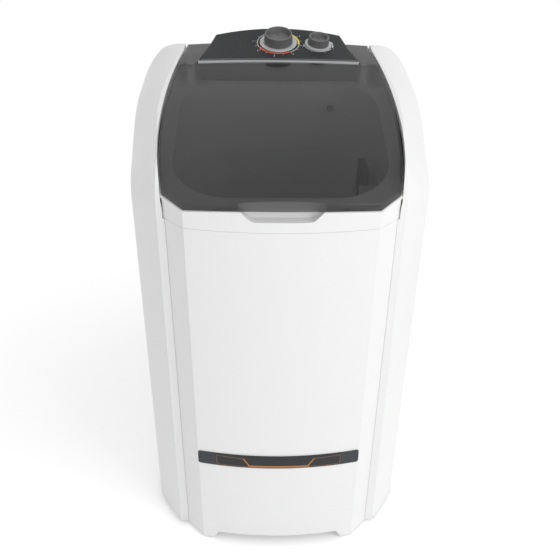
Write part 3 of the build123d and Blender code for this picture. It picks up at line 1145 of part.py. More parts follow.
# Run capacitor in its clamp, beside the motor
CAP_X, CAP_Y, CAP_R, CAP_TALL = -150.0, 150.0, 22.0, 88.0
with BuildPart() as capacitor:
    with Locations((CAP_X, CAP_Y, BASE_FLOOR)):
        Cylinder(CAP_R, CAP_TALL, align=(Align.CENTER, Align.CENTER, Align.MIN))
    fillet(capacitor.edges().filter_by(GeomType.CIRCLE), 2)
    with Locations((CAP_X - 7, CAP_Y, BASE_FLOOR + CAP_TALL), (CAP_X + 7, CAP_Y, BASE_FLOOR + CAP_TALL)):
        Box(6, 1, 9, align=(Align.CENTER, Align.CENTER, Align.MIN))
save(capacitor.part, "capacitor")
with BuildPart() as capacitor_clamp:
    with BuildSketch(level(BASE_FLOOR + 30)):
        with Locations((CAP_X, CAP_Y)):
            Circle(CAP_R + 2)
            with Locations((CAP_R + 8, 0)):
                Rectangle(18, 10)
            Circle(CAP_R, mode=Mode.SUBTRACT)
    extrude(amount=14)
    with BuildSketch(level(BASE_FLOOR)):
        with Locations((CAP_X + CAP_R + 13, CAP_Y)):
            Rectangle(8, 10)
    extrude(amount=44)
save(capacitor_clamp.part, "capacitor_clamp")

# Base frame: a shallow tray inside the foot of the panels, with bosses for the feet
FOOT_PLACES = [(-FOOT_X, FOOT_FRONT_Y), (FOOT_X, FOOT_FRONT_Y), (-FOOT_X, FOOT_BACK_Y), (FOOT_X, FOOT_BACK_Y)]
base_inset = WALL + SEAT_GAP
with BuildPart() as base_form:
    add(cabinet_solid(base_inset))
    with Locations((0, 0, BASE_TOP)):
        Box(TOP_LIMIT, TOP_LIMIT, TOP_LIMIT, align=(Align.CENTER, Align.CENTER, Align.MIN), mode=Mode.SUBTRACT)
    with Locations((0, 0, FOOT_TALL)):
        Box(TOP_LIMIT, TOP_LIMIT, 4 * TOP_LIMIT, align=(Align.CENTER, Align.CENTER, Align.MAX), mode=Mode.SUBTRACT)
    with Locations((0, BAND_FLANGE_Y + SEAT_GAP, 0)):
        Box(TOP_LIMIT, TOP_LIMIT, TOP_LIMIT, align=(Align.CENTER, Align.MAX, Align.CENTER), mode=Mode.SUBTRACT)
    with Locations((0, BACK_REACH - 2 * WALL - 2 * SEAT_GAP, 0)):
        Box(2 * (REAR_HALF + REAR_LIP + SEAT_GAP), TOP_LIMIT, TOP_LIMIT, align=(Align.CENTER, Align.MIN, Align.CENTER),
            mode=Mode.SUBTRACT)
BASE_FRONT_Y, BASE_WALL, BASE_WINDOW_HALF = BAND_FLANGE_Y + SEAT_GAP, 4.0, 110.0
base_mid_y = (BACK_REACH + BASE_FRONT_Y) / 2
with BuildPart() as rail_hollow:
    add(cabinet_solid(base_inset + BASE_WALL))
    with Locations((0, BASE_FRONT_Y + BASE_WALL, BASE_TOP - BASE_WALL)):
        Box(TOP_LIMIT, TOP_LIMIT, 2 * BASE_TOP, align=(Align.CENTER, Align.MIN, Align.MAX), mode=Mode.INTERSECT)
    with Locations((0, BACK_REACH - 2 * WALL - 2 * SEAT_GAP - BASE_WALL, 0)):
        Box(2 * (REAR_HALF + REAR_LIP + SEAT_GAP + BASE_WALL), TOP_LIMIT, TOP_LIMIT,
            align=(Align.CENTER, Align.MIN, Align.CENTER), mode=Mode.SUBTRACT)
    with BuildSketch(level(-PANEL_FOOT)):
        with Locations((0, base_mid_y)):
            RectangleRounded(2 * (FLANK_X - 62 + BASE_WALL), BACK_REACH - BASE_FRONT_Y - 40 + 2 * BASE_WALL, 44)
    extrude(amount=TOP_LIMIT, mode=Mode.SUBTRACT)
with BuildPart() as base_frame:
    add(base_form.part)
    add(rail_hollow.part, mode=Mode.SUBTRACT)
    with BuildSketch(level(BASE_FLOOR)):
        with Locations((0, base_mid_y)):
            RectangleRounded(2 * (FLANK_X - 62), BACK_REACH - BASE_FRONT_Y - 40, 40)
    extrude(amount=TOP_LIMIT, mode=Mode.SUBTRACT)
    with BuildSketch(level(0)):
        with Locations((0, base_mid_y)):
            RectangleRounded(2 * (FLANK_X - 62), BACK_REACH - BASE_FRONT_Y - 40, 40)
    extrude(amount=BASE_FLOOR - BASE_FLOOR_THICK, mode=Mode.SUBTRACT)
    with BuildSketch(level(0)):
        with Locations((0, -60)):
            RectangleRounded(2 * BASE_WINDOW_HALF, 130, 20)
    extrude(amount=TOP_LIMIT, mode=Mode.SUBTRACT)
    with BuildSketch(level(FOOT_TALL)):
        with Locations(*FOOT_PLACES):
            Circle(FOOT_R + 4)
    extrude(amount=BASE_FLOOR - FOOT_TALL)
save(base_frame.part, "base_frame")
with BuildPart() as rubber_feet:
    with BuildSketch():
        with Locations(*FOOT_PLACES):
            Circle(FOOT_R)
    extrude(amount=FOOT_TALL)
    chamfer(rubber_feet.edges().group_by(Axis.Z)[0], 2)
save(rubber_feet.part, "rubber_feet")

# Drain: elbow under the tub floor, inner hose and the outlet spigot on the rear panel
elbow_out_y = DRAIN_Y + DRAIN_TURN + 34


def tube_along(points, turn, outer, inner):
    """Round tube along a bent line in the plane across X at the drain."""
    with BuildPart() as tube:
        with BuildLine() as route:
            FilletPolyline(*points, radius=turn)
        with BuildSketch(Plane(origin=route.line @ 0, z_dir=route.line % 0)):
            Circle(outer)
            if inner:
                Circle(inner, mode=Mode.SUBTRACT)
        sweep(path=route.line)
    return tube.part


spigot_r = HOSE_INNER - HOSE_FIT
with BuildPart() as drain_elbow:
    add(tube_along([(DRAIN_X, DRAIN_Y, tub_under), (DRAIN_X, DRAIN_Y, DRAIN_LEVEL),
                    (DRAIN_X, elbow_out_y, DRAIN_LEVEL)], DRAIN_TURN, spigot_r, spigot_r - 3))
    with BuildSketch(level(tub_under - 5)):
        with Locations((DRAIN_X, DRAIN_Y)):
            Circle(HOSE_OUTER + 10)
            Circle(spigot_r - 1, mode=Mode.SUBTRACT)
    extrude(amount=5)
save(drain_elbow.part, "drain_elbow")
outlet_in_y = BACK_REACH - 26
with BuildPart() as drain_hose:
    add(tube_along([(DRAIN_X, elbow_out_y - SPIGOT_LAP, DRAIN_LEVEL), (DRAIN_X, HOSE_BACK_Y, DRAIN_LEVEL),
                    (DRAIN_X, HOSE_BACK_Y, OUTLET_Z), (DRAIN_X, outlet_in_y + SPIGOT_LAP - 2, OUTLET_Z)],
                   DRAIN_TURN, HOSE_OUTER, HOSE_INNER))
save(drain_hose.part, "drain_hose_inner")
outlet_wall_y = BACK_REACH + flare(OUTLET_Z)
with BuildPart() as drain_outlet:
    with BuildSketch(Plane.XZ.offset(-outlet_in_y)):
        with Locations((DRAIN_X, OUTLET_Z)):
            Circle(spigot_r)
    extrude(amount=-(outlet_wall_y + OUTLET_REACH - outlet_in_y))
    with BuildSketch(Plane.XZ.offset(-(outlet_wall_y + SEAT_GAP))):
        with Locations((DRAIN_X, OUTLET_Z)):
            Circle(OUTLET_FLANGE_R)
    extrude(amount=-WALL)
    chamfer(drain_outlet.edges().filter_by(GeomType.CIRCLE).sort_by(Axis.Y)[-1], 1)
    with BuildSketch(Plane.XZ.offset(-outlet_in_y)):
        with Locations((DRAIN_X, OUTLET_Z)):
            Circle(spigot_r - 3)
    extrude(amount=-100, mode=Mode.SUBTRACT)
save(drain_outlet.part, "drain_outlet")
CLAMP_WIDE = 8.0
with BuildPart() as hose_clamps:
    for clamp_y, clamp_z in ((elbow_out_y - SPIGOT_LAP + 3, DRAIN_LEVEL), (outlet_in_y + 2, OUTLET_Z)):
        with BuildSketch(Plane.XZ.offset(-clamp_y)):
            with Locations((DRAIN_X, clamp_z)):
                Circle(HOSE_OUTER + 1.2)
                with Locations((0, HOSE_OUTER + 3)):
                    Rectangle(8, 8)
                Circle(HOSE_OUTER, mode=Mode.SUBTRACT)
        extrude(amount=-CLAMP_WIDE)
save(hose_clamps.part, "hose_clamps")

# Water inlet: threaded nipple on the rear panel and a spout through the collar over the tub
inlet_wall_y = BACK_REACH + flare(INLET_Z)
with BuildPart() as inlet_nipple:
    with BuildSketch(Plane.XZ.offset(-(inlet_wall_y - 22))):
        with Locations((INLET_X, INLET_Z)):
            Circle(INLET_R)
    extrude(amount=-(22 + INLET_REACH))
    chamfer(inlet_nipple.edges().filter_by(GeomType.CIRCLE).sort_by(Axis.Y)[-1], 1)
    with BuildSketch(Plane.XZ.offset(-(inlet_wall_y + SEAT_GAP))):
        with Locations((INLET_X, INLET_Z)):
            RegularPolygon(19, 6, major_radius=False)
    extrude(amount=-WALL)
    with BuildSketch(Plane.XZ.offset(-(inlet_wall_y - 30))):
        with Locations((INLET_X, INLET_Z)):
            Circle(INLET_BORE)
    extrude(amount=-60, mode=Mode.SUBTRACT)
save(inlet_nipple.part, "inlet_nipple")
spout_front_y = TUB_BACK - SPOUT_LIP
with BuildPart() as fill_spout:
    with BuildSketch(Plane.XZ.offset(-spout_front_y)):
        with Locations((INLET_X, INLET_Z)):
            Circle(SPOUT_R)
            Circle(INLET_BORE - 0.5, mode=Mode.SUBTRACT)
    extrude(amount=-(inlet_wall_y - 22 - spout_front_y))
    with BuildSketch(Plane.XZ.offset(-(TUB_BACK + WALL + SEAT_GAP))):
        with Locations((INLET_X, INLET_Z)):
            Circle(SPOUT_R + 6)
            Circle(INLET_BORE - 0.5, mode=Mode.SUBTRACT)
    extrude(amount=-WALL)
save(fill_spout.part, "fill_spout")

# Cord inlet: a bushing in the rear panel where a supply cord would enter
cord_wall_y = BACK_REACH + flare(CORD_Z)
with BuildPart() as cord_inlet:
    with BuildSketch(Plane.XZ.offset(-(cord_wall_y - 10))):
        with Locations((CORD_X, CORD_Z)):
            Circle(CORD_BUSH_R)
    extrude(amount=-10 - SEAT_GAP)
    with BuildSketch(Plane.XZ.offset(-(cord_wall_y + SEAT_GAP))):
        with Locations((CORD_X, CORD_Z)):
            Circle(13)
    extrude(amount=-4)
    fillet(cord_inlet.edges().filter_by(GeomType.CIRCLE).sort_by(Axis.Y)[-1], 1.5)
    with BuildSketch(Plane.XZ.offset(-(cord_wall_y - 20))):
        with Locations((CORD_X, CORD_Z)):
            Circle(CORD_BORE)
    extrude(amount=-50, mode=Mode.SUBTRACT)
save(cord_inlet.part, "cord_inlet")

# Wiring from the timer down to the motor
harness_top = console_height(KNOBS_Y) - (CONSOLE_WALL + FACE_SEAT + TIMER_BODY_TALL + 9) * math.cos(pitch)
motor_back = MOTOR_Y + MOTOR_R + SEAT_GAP
with BuildPart() as wiring_harness:
    add(tube_along([(0, HARNESS_Y, harness_top), (0, HARNESS_Y, MOTOR_FOOT + 30),
                    (0, motor_back, MOTOR_FOOT + 30)], HARNESS_TURN, HARNESS_R, 0))
save(wiring_harness.part, "wiring_harness")

# Lint filter: a frame with a grille, sliding in two channels on the right wall of the tub
FILTER_BORDER, FILTER_BACK_X = 7.0, FILTER_X + FILTER_THICK
filter_top = FILTER_FOOT + FILTER_TALL
with BuildPart() as lint_filter_frame:
    with BuildSketch(along_x(FILTER_X)):
        with Locations((FILTER_Y, FILTER_FOOT + FILTER_TALL / 2)):
            RectangleRounded(FILTER_WIDE, FILTER_TALL, 4)
            Rectangle(FILTER_WIDE - 2 * FILTER_BORDER, FILTER_TALL - 4 * FILTER_BORDER, mode=Mode.SUBTRACT)
    extrude(amount=FILTER_THICK)
    with BuildSketch(along_x(FILTER_X + 4)):
        with Locations((FILTER_Y, filter_top - 2)):
            RectangleRounded(FILTER_WIDE / 2, 16, 4)
    extrude(amount=FILTER_THICK - 8)
save(lint_filter_frame.part, "lint_filter_frame")
MESH_COLUMNS, MESH_ROWS, MESH_BAR = 6, 14, 2.0
mesh_wide, mesh_tall = FILTER_WIDE - 2 * FILTER_BORDER, FILTER_TALL - 4 * FILTER_BORDER
with BuildPart() as lint_filter_mesh:
    with BuildSketch(along_x(FILTER_X + FILTER_THICK / 2)):
        with Locations((FILTER_Y, FILTER_FOOT + FILTER_TALL / 2)):
            Rectangle(mesh_wide, mesh_tall)
            with GridLocations(mesh_wide / MESH_COLUMNS, mesh_tall / MESH_ROWS, MESH_COLUMNS, MESH_ROWS):
                Rectangle(mesh_wide / MESH_COLUMNS - MESH_BAR, mesh_tall / MESH_ROWS - MESH_BAR, mode=Mode.SUBTRACT)
    extrude(amount=2)
save(lint_filter_mesh.part, "lint_filter_mesh")

# Soft stops that the lid's rim rests on
BUMPER_X, BUMPER_HALF = 112.0, 9.0
with BuildPart() as lid_bumpers:
    add(front_form(SEAM_HEIGHT, TOP_LIMIT, 0.3))
    add(front_form(SEAM_HEIGHT - 1, TOP_LIMIT + 1, WALL), mode=Mode.SUBTRACT)
    with Locations((-BUMPER_X, -FRONT_REACH, SEAM_HEIGHT), (BUMPER_X, -FRONT_REACH, SEAM_HEIGHT)):
        Box(2 * BUMPER_HALF, 60, TOP_LIMIT, mode=Mode.INTERSECT)
    add(under_lid(LID_RIM + SEAT_GAP), mode=Mode.INTERSECT)
    add(under_lid(LID_RIM + LID_REST), mode=Mode.SUBTRACT)
save(lid_bumpers.part, "lid_bumpers")
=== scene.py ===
"""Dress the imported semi-automatic washing machine, print its console and light a plain studio."""

import json
import logging
import math
from dataclasses import dataclass
from enum import Enum

import bmesh
import bpy
from mathutils import Matrix, Vector
from mathutils.bvhtree import BVHTree

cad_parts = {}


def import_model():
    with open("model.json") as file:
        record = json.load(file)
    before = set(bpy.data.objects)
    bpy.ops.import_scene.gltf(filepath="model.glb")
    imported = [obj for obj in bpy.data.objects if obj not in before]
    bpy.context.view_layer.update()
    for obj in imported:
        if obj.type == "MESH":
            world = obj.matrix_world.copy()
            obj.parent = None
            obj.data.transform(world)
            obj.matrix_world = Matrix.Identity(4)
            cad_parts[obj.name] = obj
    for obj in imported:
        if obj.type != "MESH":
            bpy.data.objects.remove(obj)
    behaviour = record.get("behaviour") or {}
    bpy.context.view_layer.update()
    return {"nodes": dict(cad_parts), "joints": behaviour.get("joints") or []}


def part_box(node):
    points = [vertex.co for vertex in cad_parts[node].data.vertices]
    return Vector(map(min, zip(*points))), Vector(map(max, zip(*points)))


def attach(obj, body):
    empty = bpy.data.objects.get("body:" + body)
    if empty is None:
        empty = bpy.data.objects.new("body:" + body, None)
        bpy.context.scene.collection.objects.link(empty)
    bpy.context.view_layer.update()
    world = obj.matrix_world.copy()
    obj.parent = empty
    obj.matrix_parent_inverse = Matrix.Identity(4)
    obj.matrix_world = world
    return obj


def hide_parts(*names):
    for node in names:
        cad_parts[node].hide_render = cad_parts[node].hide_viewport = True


LOG = logging.getLogger("washing_machine")
MM = 0.001
Colour = tuple[float, float, float]
Place = tuple[float, float, float]

# Sockets of a Mix node in its colour mode
MIX_SHARE, MIX_FIRST, MIX_SECOND, MIX_RESULT = 0, 6, 7, 2
# Shares and gains inside the shared shader groups
MOTTLE_VALUE = 0.82
WEAR_REACH, WEAR_GAIN = 1.2 * MM, 3.0
STAIN_POWER, STAIN_SHARE = 3.0, 0.9
LINE_SQUEEZE, LINE_GLOSS = 12.0, 0.18
DOT_LEVEL = 0.7
# Meshes of the printed pieces and the net
WELD = 0.005 * MM
SKIN_REACH = 40 * MM
MITRE_LIMIT = 0.3


class Ink(Enum):
    """Colours printed on the console and the front strip."""

    WHITE = (0.72, 0.72, 0.72)
    AMBER = (0.78, 0.66, 0.03)
    RED = (0.66, 0.09, 0.035)
    ORANGE = (0.62, 0.23, 0.045)
    BROWN = (0.24, 0.12, 0.07)


class Body(Enum):
    """Bodies of the frame that carry added pieces."""

    ROOT = "root"
    FILTER = "lint_filter"


class Graph:
    """A shader tree with short calls for adding and joining nodes."""

    def __init__(self, tree: bpy.types.NodeTree) -> None:
        """Wrap a tree.

        Args:
            tree: The node tree that later calls add to.
        """
        self.tree = tree

    def add(self, kind: str, values: dict[str, object] | None = None, **settings: object
            ) -> bpy.types.Node:
        """Add a node.

        Args:
            kind: The node's type without its Shader or ShaderNode prefix.
            values: Input sockets to set, by name or index.
            settings: Properties to set on the node.

        Returns:
            The new node.
        """
        node = self.tree.nodes.new(f"ShaderNode{kind}")
        for name, value in settings.items():
            setattr(node, name, value)
        for name, value in (values or {}).items():
            node.inputs[name].default_value = value
        return node

    def join(self, source: bpy.types.NodeSocket, target: bpy.types.NodeSocket) -> None:
        """Link an output to an input."""
        self.tree.links.new(source, target)

    def maths(self, operation: str, first: object, second: object = 0.0) -> bpy.types.NodeSocket:
        """Add a Math node.

        Args:
            operation: The node's operation.
            first: A socket or a number.
            second: A socket or a number.

        Returns:
            The node's output.
        """
        node = self.add("Math", operation=operation)
        for socket, value in zip(node.inputs, (first, second)):
            if isinstance(value, bpy.types.NodeSocket):
                self.join(value, socket)
            else:
                socket.default_value = value
        return node.outputs[0]

    def blend(self, factor: object, first: object, second: object) -> bpy.types.NodeSocket:
        """Mix two colours.

        Args:
            factor: A socket or a number.
            first: The colour or socket at factor 0.
            second: The colour or socket at factor 1.

        Returns:
            The mixed colour.
        """
        node = self.add("Mix", data_type="RGBA")
        for index, value in ((MIX_SHARE, factor), (MIX_FIRST, first), (MIX_SECOND, second)):
            if isinstance(value, bpy.types.NodeSocket):
                self.join(value, node.inputs[index])
            else:
                node.inputs[index].default_value = (*value, 1.0) if isinstance(value, tuple) else value
        return node.outputs[MIX_RESULT]


def new_group(name: str, inputs: dict[str, tuple[str, object]], outputs: dict[str, str]
              ) -> tuple[Graph, bpy.types.Node, bpy.types.Node]:
    """Start a shader group.

    Args:
        name: The group's name.
        inputs: Socket kind and default value for each input.
        outputs: Socket kind for each output.

    Returns:
        The group's graph, its input node and its output node.
    """
    tree = bpy.data.node_groups.new(name, "ShaderNodeTree")
    for label, (kind, value) in inputs.items():
        socket = tree.interface.new_socket(name=label, in_out="INPUT", socket_type=f"NodeSocket{kind}")
        socket.default_value = (*value, 1.0) if isinstance(value, tuple) else value
    for label, kind in outputs.items():
        tree.interface.new_socket(name=label, in_out="OUTPUT", socket_type=f"NodeSocket{kind}")
    graph = Graph(tree)
    return graph, tree.nodes.new("NodeGroupInput"), tree.nodes.new("NodeGroupOutput")


def skin_group() -> bpy.types.NodeTree:
    """Build the moulded skin effect: faint mottle, drifting gloss and a fine grain.

    Returns:
        The group.
    """
    graph, given, result = new_group(
        "moulded_skin",
        {"Tone": ("Color", (0.8, 0.8, 0.8)), "Mottle": ("Float", 0.03), "Grain Scale": ("Float", 900.0),
         "Gloss": ("Float", 0.25), "Gloss Drift": ("Float", 0.06)},
        {"Tone": "Color", "Roughness": "Float", "Height": "Float"},
    )
    place = graph.add("TexCoord").outputs["Object"]
    cloud = graph.add("TexNoise", {"Scale": 7.0, "Detail": 3.0})
    smear = graph.add("TexNoise", {"Scale": 38.0, "Detail": 4.0, "Distortion": 0.6})
    grain = graph.add("TexNoise", {"Detail": 2.0})
    for noise in (cloud, smear, grain):
        graph.join(place, noise.inputs["Vector"])
    graph.join(given.outputs["Grain Scale"], grain.inputs["Scale"])
    darker = graph.add("HueSaturation", {"Value": MOTTLE_VALUE})
    graph.join(given.outputs["Tone"], darker.inputs["Color"])
    share = graph.maths("MULTIPLY", cloud.outputs["Fac"], given.outputs["Mottle"])
    graph.join(graph.blend(share, given.outputs["Tone"], darker.outputs["Color"]), result.inputs["Tone"])
    swing = graph.maths("SUBTRACT", smear.outputs["Fac"], 0.5)
    drift = graph.maths("MULTIPLY", swing, given.outputs["Gloss Drift"])
    graph.join(graph.maths("ADD", given.outputs["Gloss"], drift), result.inputs["Roughness"])
    graph.join(grain.outputs["Fac"], result.inputs["Height"])
    return graph.tree


def wear_group() -> bpy.types.NodeTree:
    """Build the handled-edge effect: sharp edges lighten a little, in broken patches.

    Returns:
        The group.
    """
    graph, given, result = new_group(
        "edge_wear",
        {"Tone": ("Color", (0.8, 0.8, 0.8)), "Worn": ("Color", (0.9, 0.9, 0.9)),
         "Amount": ("Float", 0.2)},
        {"Tone": "Color"},
    )
    flat = graph.add("NewGeometry").outputs["Normal"]
    soft = graph.add("Bevel", {"Radius": WEAR_REACH}, samples=4).outputs["Normal"]
    facing = graph.add("VectorMath", operation="DOT_PRODUCT")
    graph.join(flat, facing.inputs[0])
    graph.join(soft, facing.inputs[1])
    patches = graph.add("TexNoise", {"Scale": 90.0, "Detail": 5.0})
    graph.join(graph.add("TexCoord").outputs["Object"], patches.inputs["Vector"])
    edge = graph.maths("MULTIPLY", graph.maths("SUBTRACT", 1.0, facing.outputs["Value"]), WEAR_GAIN)
    broken = graph.maths("MULTIPLY", edge, patches.outputs["Fac"])
    rubbed = graph.maths("MULTIPLY", broken, given.outputs["Amount"])
    graph.join(graph.blend(rubbed, given.outputs["Tone"], given.outputs["Worn"]), result.inputs["Tone"])
    return graph.tree


def dust_group() -> bpy.types.NodeTree:
    """Build the settled-dust effect: faces that look up collect a thin pale film.

    Returns:
        The group.
    """
    graph, given, result = new_group(
        "settled_dust",
        {"Tone": ("Color", (0.8, 0.8, 0.8)), "Dust": ("Color", (0.62, 0.6, 0.57)),
         "Amount": ("Float", 0.05)},
        {"Tone": "Color"},
    )
    up = graph.add("SeparateXYZ")
    graph.join(graph.add("NewGeometry").outputs["Normal"], up.inputs[0])
    specks = graph.add("TexNoise", {"Scale": 240.0, "Detail": 6.0})
    graph.join(graph.add("TexCoord").outputs["Object"], specks.inputs["Vector"])
    film = graph.maths("MULTIPLY", graph.maths("MAXIMUM", up.outputs["Z"], 0.0), specks.outputs["Fac"])
    share = graph.maths("MULTIPLY", film, given.outputs["Amount"])
    graph.join(graph.blend(share, given.outputs["Tone"], given.outputs["Dust"]), result.inputs["Tone"])
    return graph.tree


def brushed_group() -> bpy.types.NodeTree:
    """Build the machined-metal effect: fine lines round an upright axis, with stains.

    Returns:
        The group.
    """
    graph, given, result = new_group(
        "turned_lines",
        {"Tone": ("Color", (0.6, 0.6, 0.6)), "Stain": ("Color", (0.3, 0.28, 0.26)),
         "Stretch": ("Float", 60.0), "Gloss": ("Float", 0.3)},
        {"Tone": "Color", "Roughness": "Float", "Height": "Float"},
    )
    place = graph.add("TexCoord").outputs["Object"]
    squeezed = graph.add("CombineXYZ", {"X": LINE_SQUEEZE, "Y": LINE_SQUEEZE})
    graph.join(given.outputs["Stretch"], squeezed.inputs["Z"])
    lined = graph.add("VectorMath", operation="MULTIPLY")
    graph.join(place, lined.inputs[0])
    graph.join(squeezed.outputs[0], lined.inputs[1])
    lines = graph.add("TexNoise", {"Scale": 14.0, "Detail": 4.0})
    graph.join(lined.outputs[0], lines.inputs["Vector"])
    stains = graph.add("TexNoise", {"Scale": 26.0, "Detail": 6.0})
    graph.join(place, stains.inputs["Vector"])
    patch = graph.maths("MULTIPLY", graph.maths("POWER", stains.outputs["Fac"], STAIN_POWER), STAIN_SHARE)
    graph.join(graph.blend(patch, given.outputs["Tone"], given.outputs["Stain"]), result.inputs["Tone"])
    lined_gloss = graph.maths("MULTIPLY", lines.outputs["Fac"], LINE_GLOSS)
    graph.join(graph.maths("ADD", given.outputs["Gloss"], lined_gloss), result.inputs["Roughness"])
    graph.join(lines.outputs["Fac"], result.inputs["Height"])
    return graph.tree


def dots_group() -> bpy.types.NodeTree:
    """Build the dotted-end effect of the front strip: a grid of pale dots past a distance from the middle.

    Returns:
        The group.
    """
    graph, given, result = new_group(
        "dotted_ends",
        {"Tone": ("Color", (0.05, 0.05, 0.05)), "Dot": ("Color", (0.2, 0.2, 0.2)),
         "Start": ("Float", 0.13), "Pitch": ("Float", 2.2 * MM)},
        {"Tone": "Color"},
    )
    where = graph.add("SeparateXYZ")
    graph.join(graph.add("TexCoord").outputs["Object"], where.inputs[0])
    waves = []
    for axis in ("X", "Z"):
        turns = graph.maths("DIVIDE", where.outputs[axis], given.outputs["Pitch"])
        waves.append(graph.maths("COSINE", graph.maths("MULTIPLY", turns, 2 * math.pi)))
    dot = graph.maths("GREATER_THAN", graph.maths("ADD", waves[0], waves[1]), DOT_LEVEL)
    aside = graph.maths("ABSOLUTE", where.outputs["X"])
    past = graph.maths("GREATER_THAN", aside, given.outputs["Start"])
    shown = graph.maths("MULTIPLY", dot, past)
    graph.join(graph.blend(shown, given.outputs["Tone"], given.outputs["Dot"]), result.inputs["Tone"])
    return graph.tree


class Effects:
    """The shared shader groups, each built once."""

    def __init__(self) -> None:
        """Build every group."""
        self.skin = skin_group()
        self.wear = wear_group()
        self.dust = dust_group()
        self.brushed = brushed_group()
        self.dots = dots_group()


def place_group(graph: Graph, tree: bpy.types.NodeTree, **values: object) -> bpy.types.Node:
    """Put a shared group in a material.

    Args:
        graph: The material's graph.
        tree: The group.
        values: Its inputs, with spaces written as underscores; a socket is joined.

    Returns:
        The group's node.
    """
    node = graph.add("Group")
    node.node_tree = tree
    for key, value in values.items():
        socket = node.inputs[key.replace("_", " ")]
        if isinstance(value, bpy.types.NodeSocket):
            graph.join(value, socket)
        else:
            socket.default_value = (*value, 1.0) if isinstance(value, tuple) else value
    return node


def start_material(name: str, tone: Colour) -> tuple[bpy.types.Material, Graph, bpy.types.Node]:
    """Make an empty material with a Principled shader.

    Args:
        name: The material's name.
        tone: Its colour in plain viewports.

    Returns:
        The material, its graph and its shader node.
    """
    material = bpy.data.materials.new(name)
    material.use_nodes = True
    material.diffuse_color = (*tone, 1.0)
    material.node_tree.nodes.clear()
    graph = Graph(material.node_tree)
    shader = graph.add("BsdfPrincipled")
    graph.join(shader.outputs[0], graph.add("OutputMaterial").inputs[0])
    return material, graph, shader


def bump(graph: Graph, shader: bpy.types.Node, height: bpy.types.NodeSocket, depth: float, edge: float
         ) -> None:
    """Give a shader a relief over softened edges.

    Args:
        graph: The material's graph.
        shader: The Principled node.
        height: The relief.
        depth: The relief's depth in metres.
        edge: The radius of softened edges in metres, or 0.
    """
    relief = graph.add("Bump", {"Strength": 1.0, "Distance": depth})
    graph.join(height, relief.inputs["Height"])
    if edge:
        graph.join(graph.add("Bevel", {"Radius": edge}, samples=4).outputs[0], relief.inputs["Normal"])
    graph.join(relief.outputs[0], shader.inputs["Normal"])


@dataclass(frozen=True)
class Moulding:
    """A moulded plastic or rubber surface."""

    name: str
    tone: Colour
    gloss: float
    mottle: float = 0.10
    grain_scale: float = 900.0
    grain_depth: float = 0.02 * MM
    drift: float = 0.08
    edge: float = 0.6 * MM
    worn: Colour = (0.9, 0.9, 0.9)
    wear: float = 0.0
    dust: float = 0.05
    coat: float = 0.0
    coat_gloss: float = 0.08
    sheen: float = 0.0
    shine: float = 0.5

    def make(self, effects: Effects) -> bpy.types.Material:
        """Build the material.

        Args:
            effects: The shared groups.

        Returns:
            The material.
        """
        material, graph, shader = start_material(self.name, self.tone)
        skin = place_group(graph, effects.skin, Tone=self.tone, Mottle=self.mottle,
                           Grain_Scale=self.grain_scale, Gloss=self.gloss, Gloss_Drift=self.drift)
        colour = skin.outputs["Tone"]
        if self.wear:
            worn = place_group(graph, effects.wear, Tone=colour, Worn=self.worn, Amount=self.wear)
            colour = worn.outputs[0]
        colour = place_group(graph, effects.dust, Tone=colour, Amount=self.dust).outputs[0]
        graph.join(colour, shader.inputs["Base Color"])
        graph.join(skin.outputs["Roughness"], shader.inputs["Roughness"])
        shader.inputs["Coat Weight"].default_value = self.coat
        shader.inputs["Coat Roughness"].default_value = self.coat_gloss
        shader.inputs["Sheen Weight"].default_value = self.sheen
        shader.inputs["Specular IOR Level"].default_value = self.shine
        bump(graph, shader, skin.outputs["Height"], self.grain_depth, self.edge)
        return material


@dataclass(frozen=True)
class Metal:
    """A machined, cast or plated metal surface."""

    name: str
    tone: Colour
    stain: Colour
    gloss: float
    stretch: float = 60.0
    depth: float = 0.02 * MM
    edge: float = 0.4 * MM
    metallic: float = 1.0

    def make(self, effects: Effects) -> bpy.types.Material:
        """Build the material.

        Args:
            effects: The shared groups.

        Returns:
            The material.
        """
        material, graph, shader = start_material(self.name, self.tone)
        lines = place_group(graph, effects.brushed, Tone=self.tone, Stain=self.stain,
                            Stretch=self.stretch, Gloss=self.gloss)
        graph.join(lines.outputs["Tone"], shader.inputs["Base Color"])
        graph.join(lines.outputs["Roughness"], shader.inputs["Roughness"])
        shader.inputs["Metallic"].default_value = self.metallic
        bump(graph, shader, lines.outputs["Height"], self.depth, self.edge)
        return material


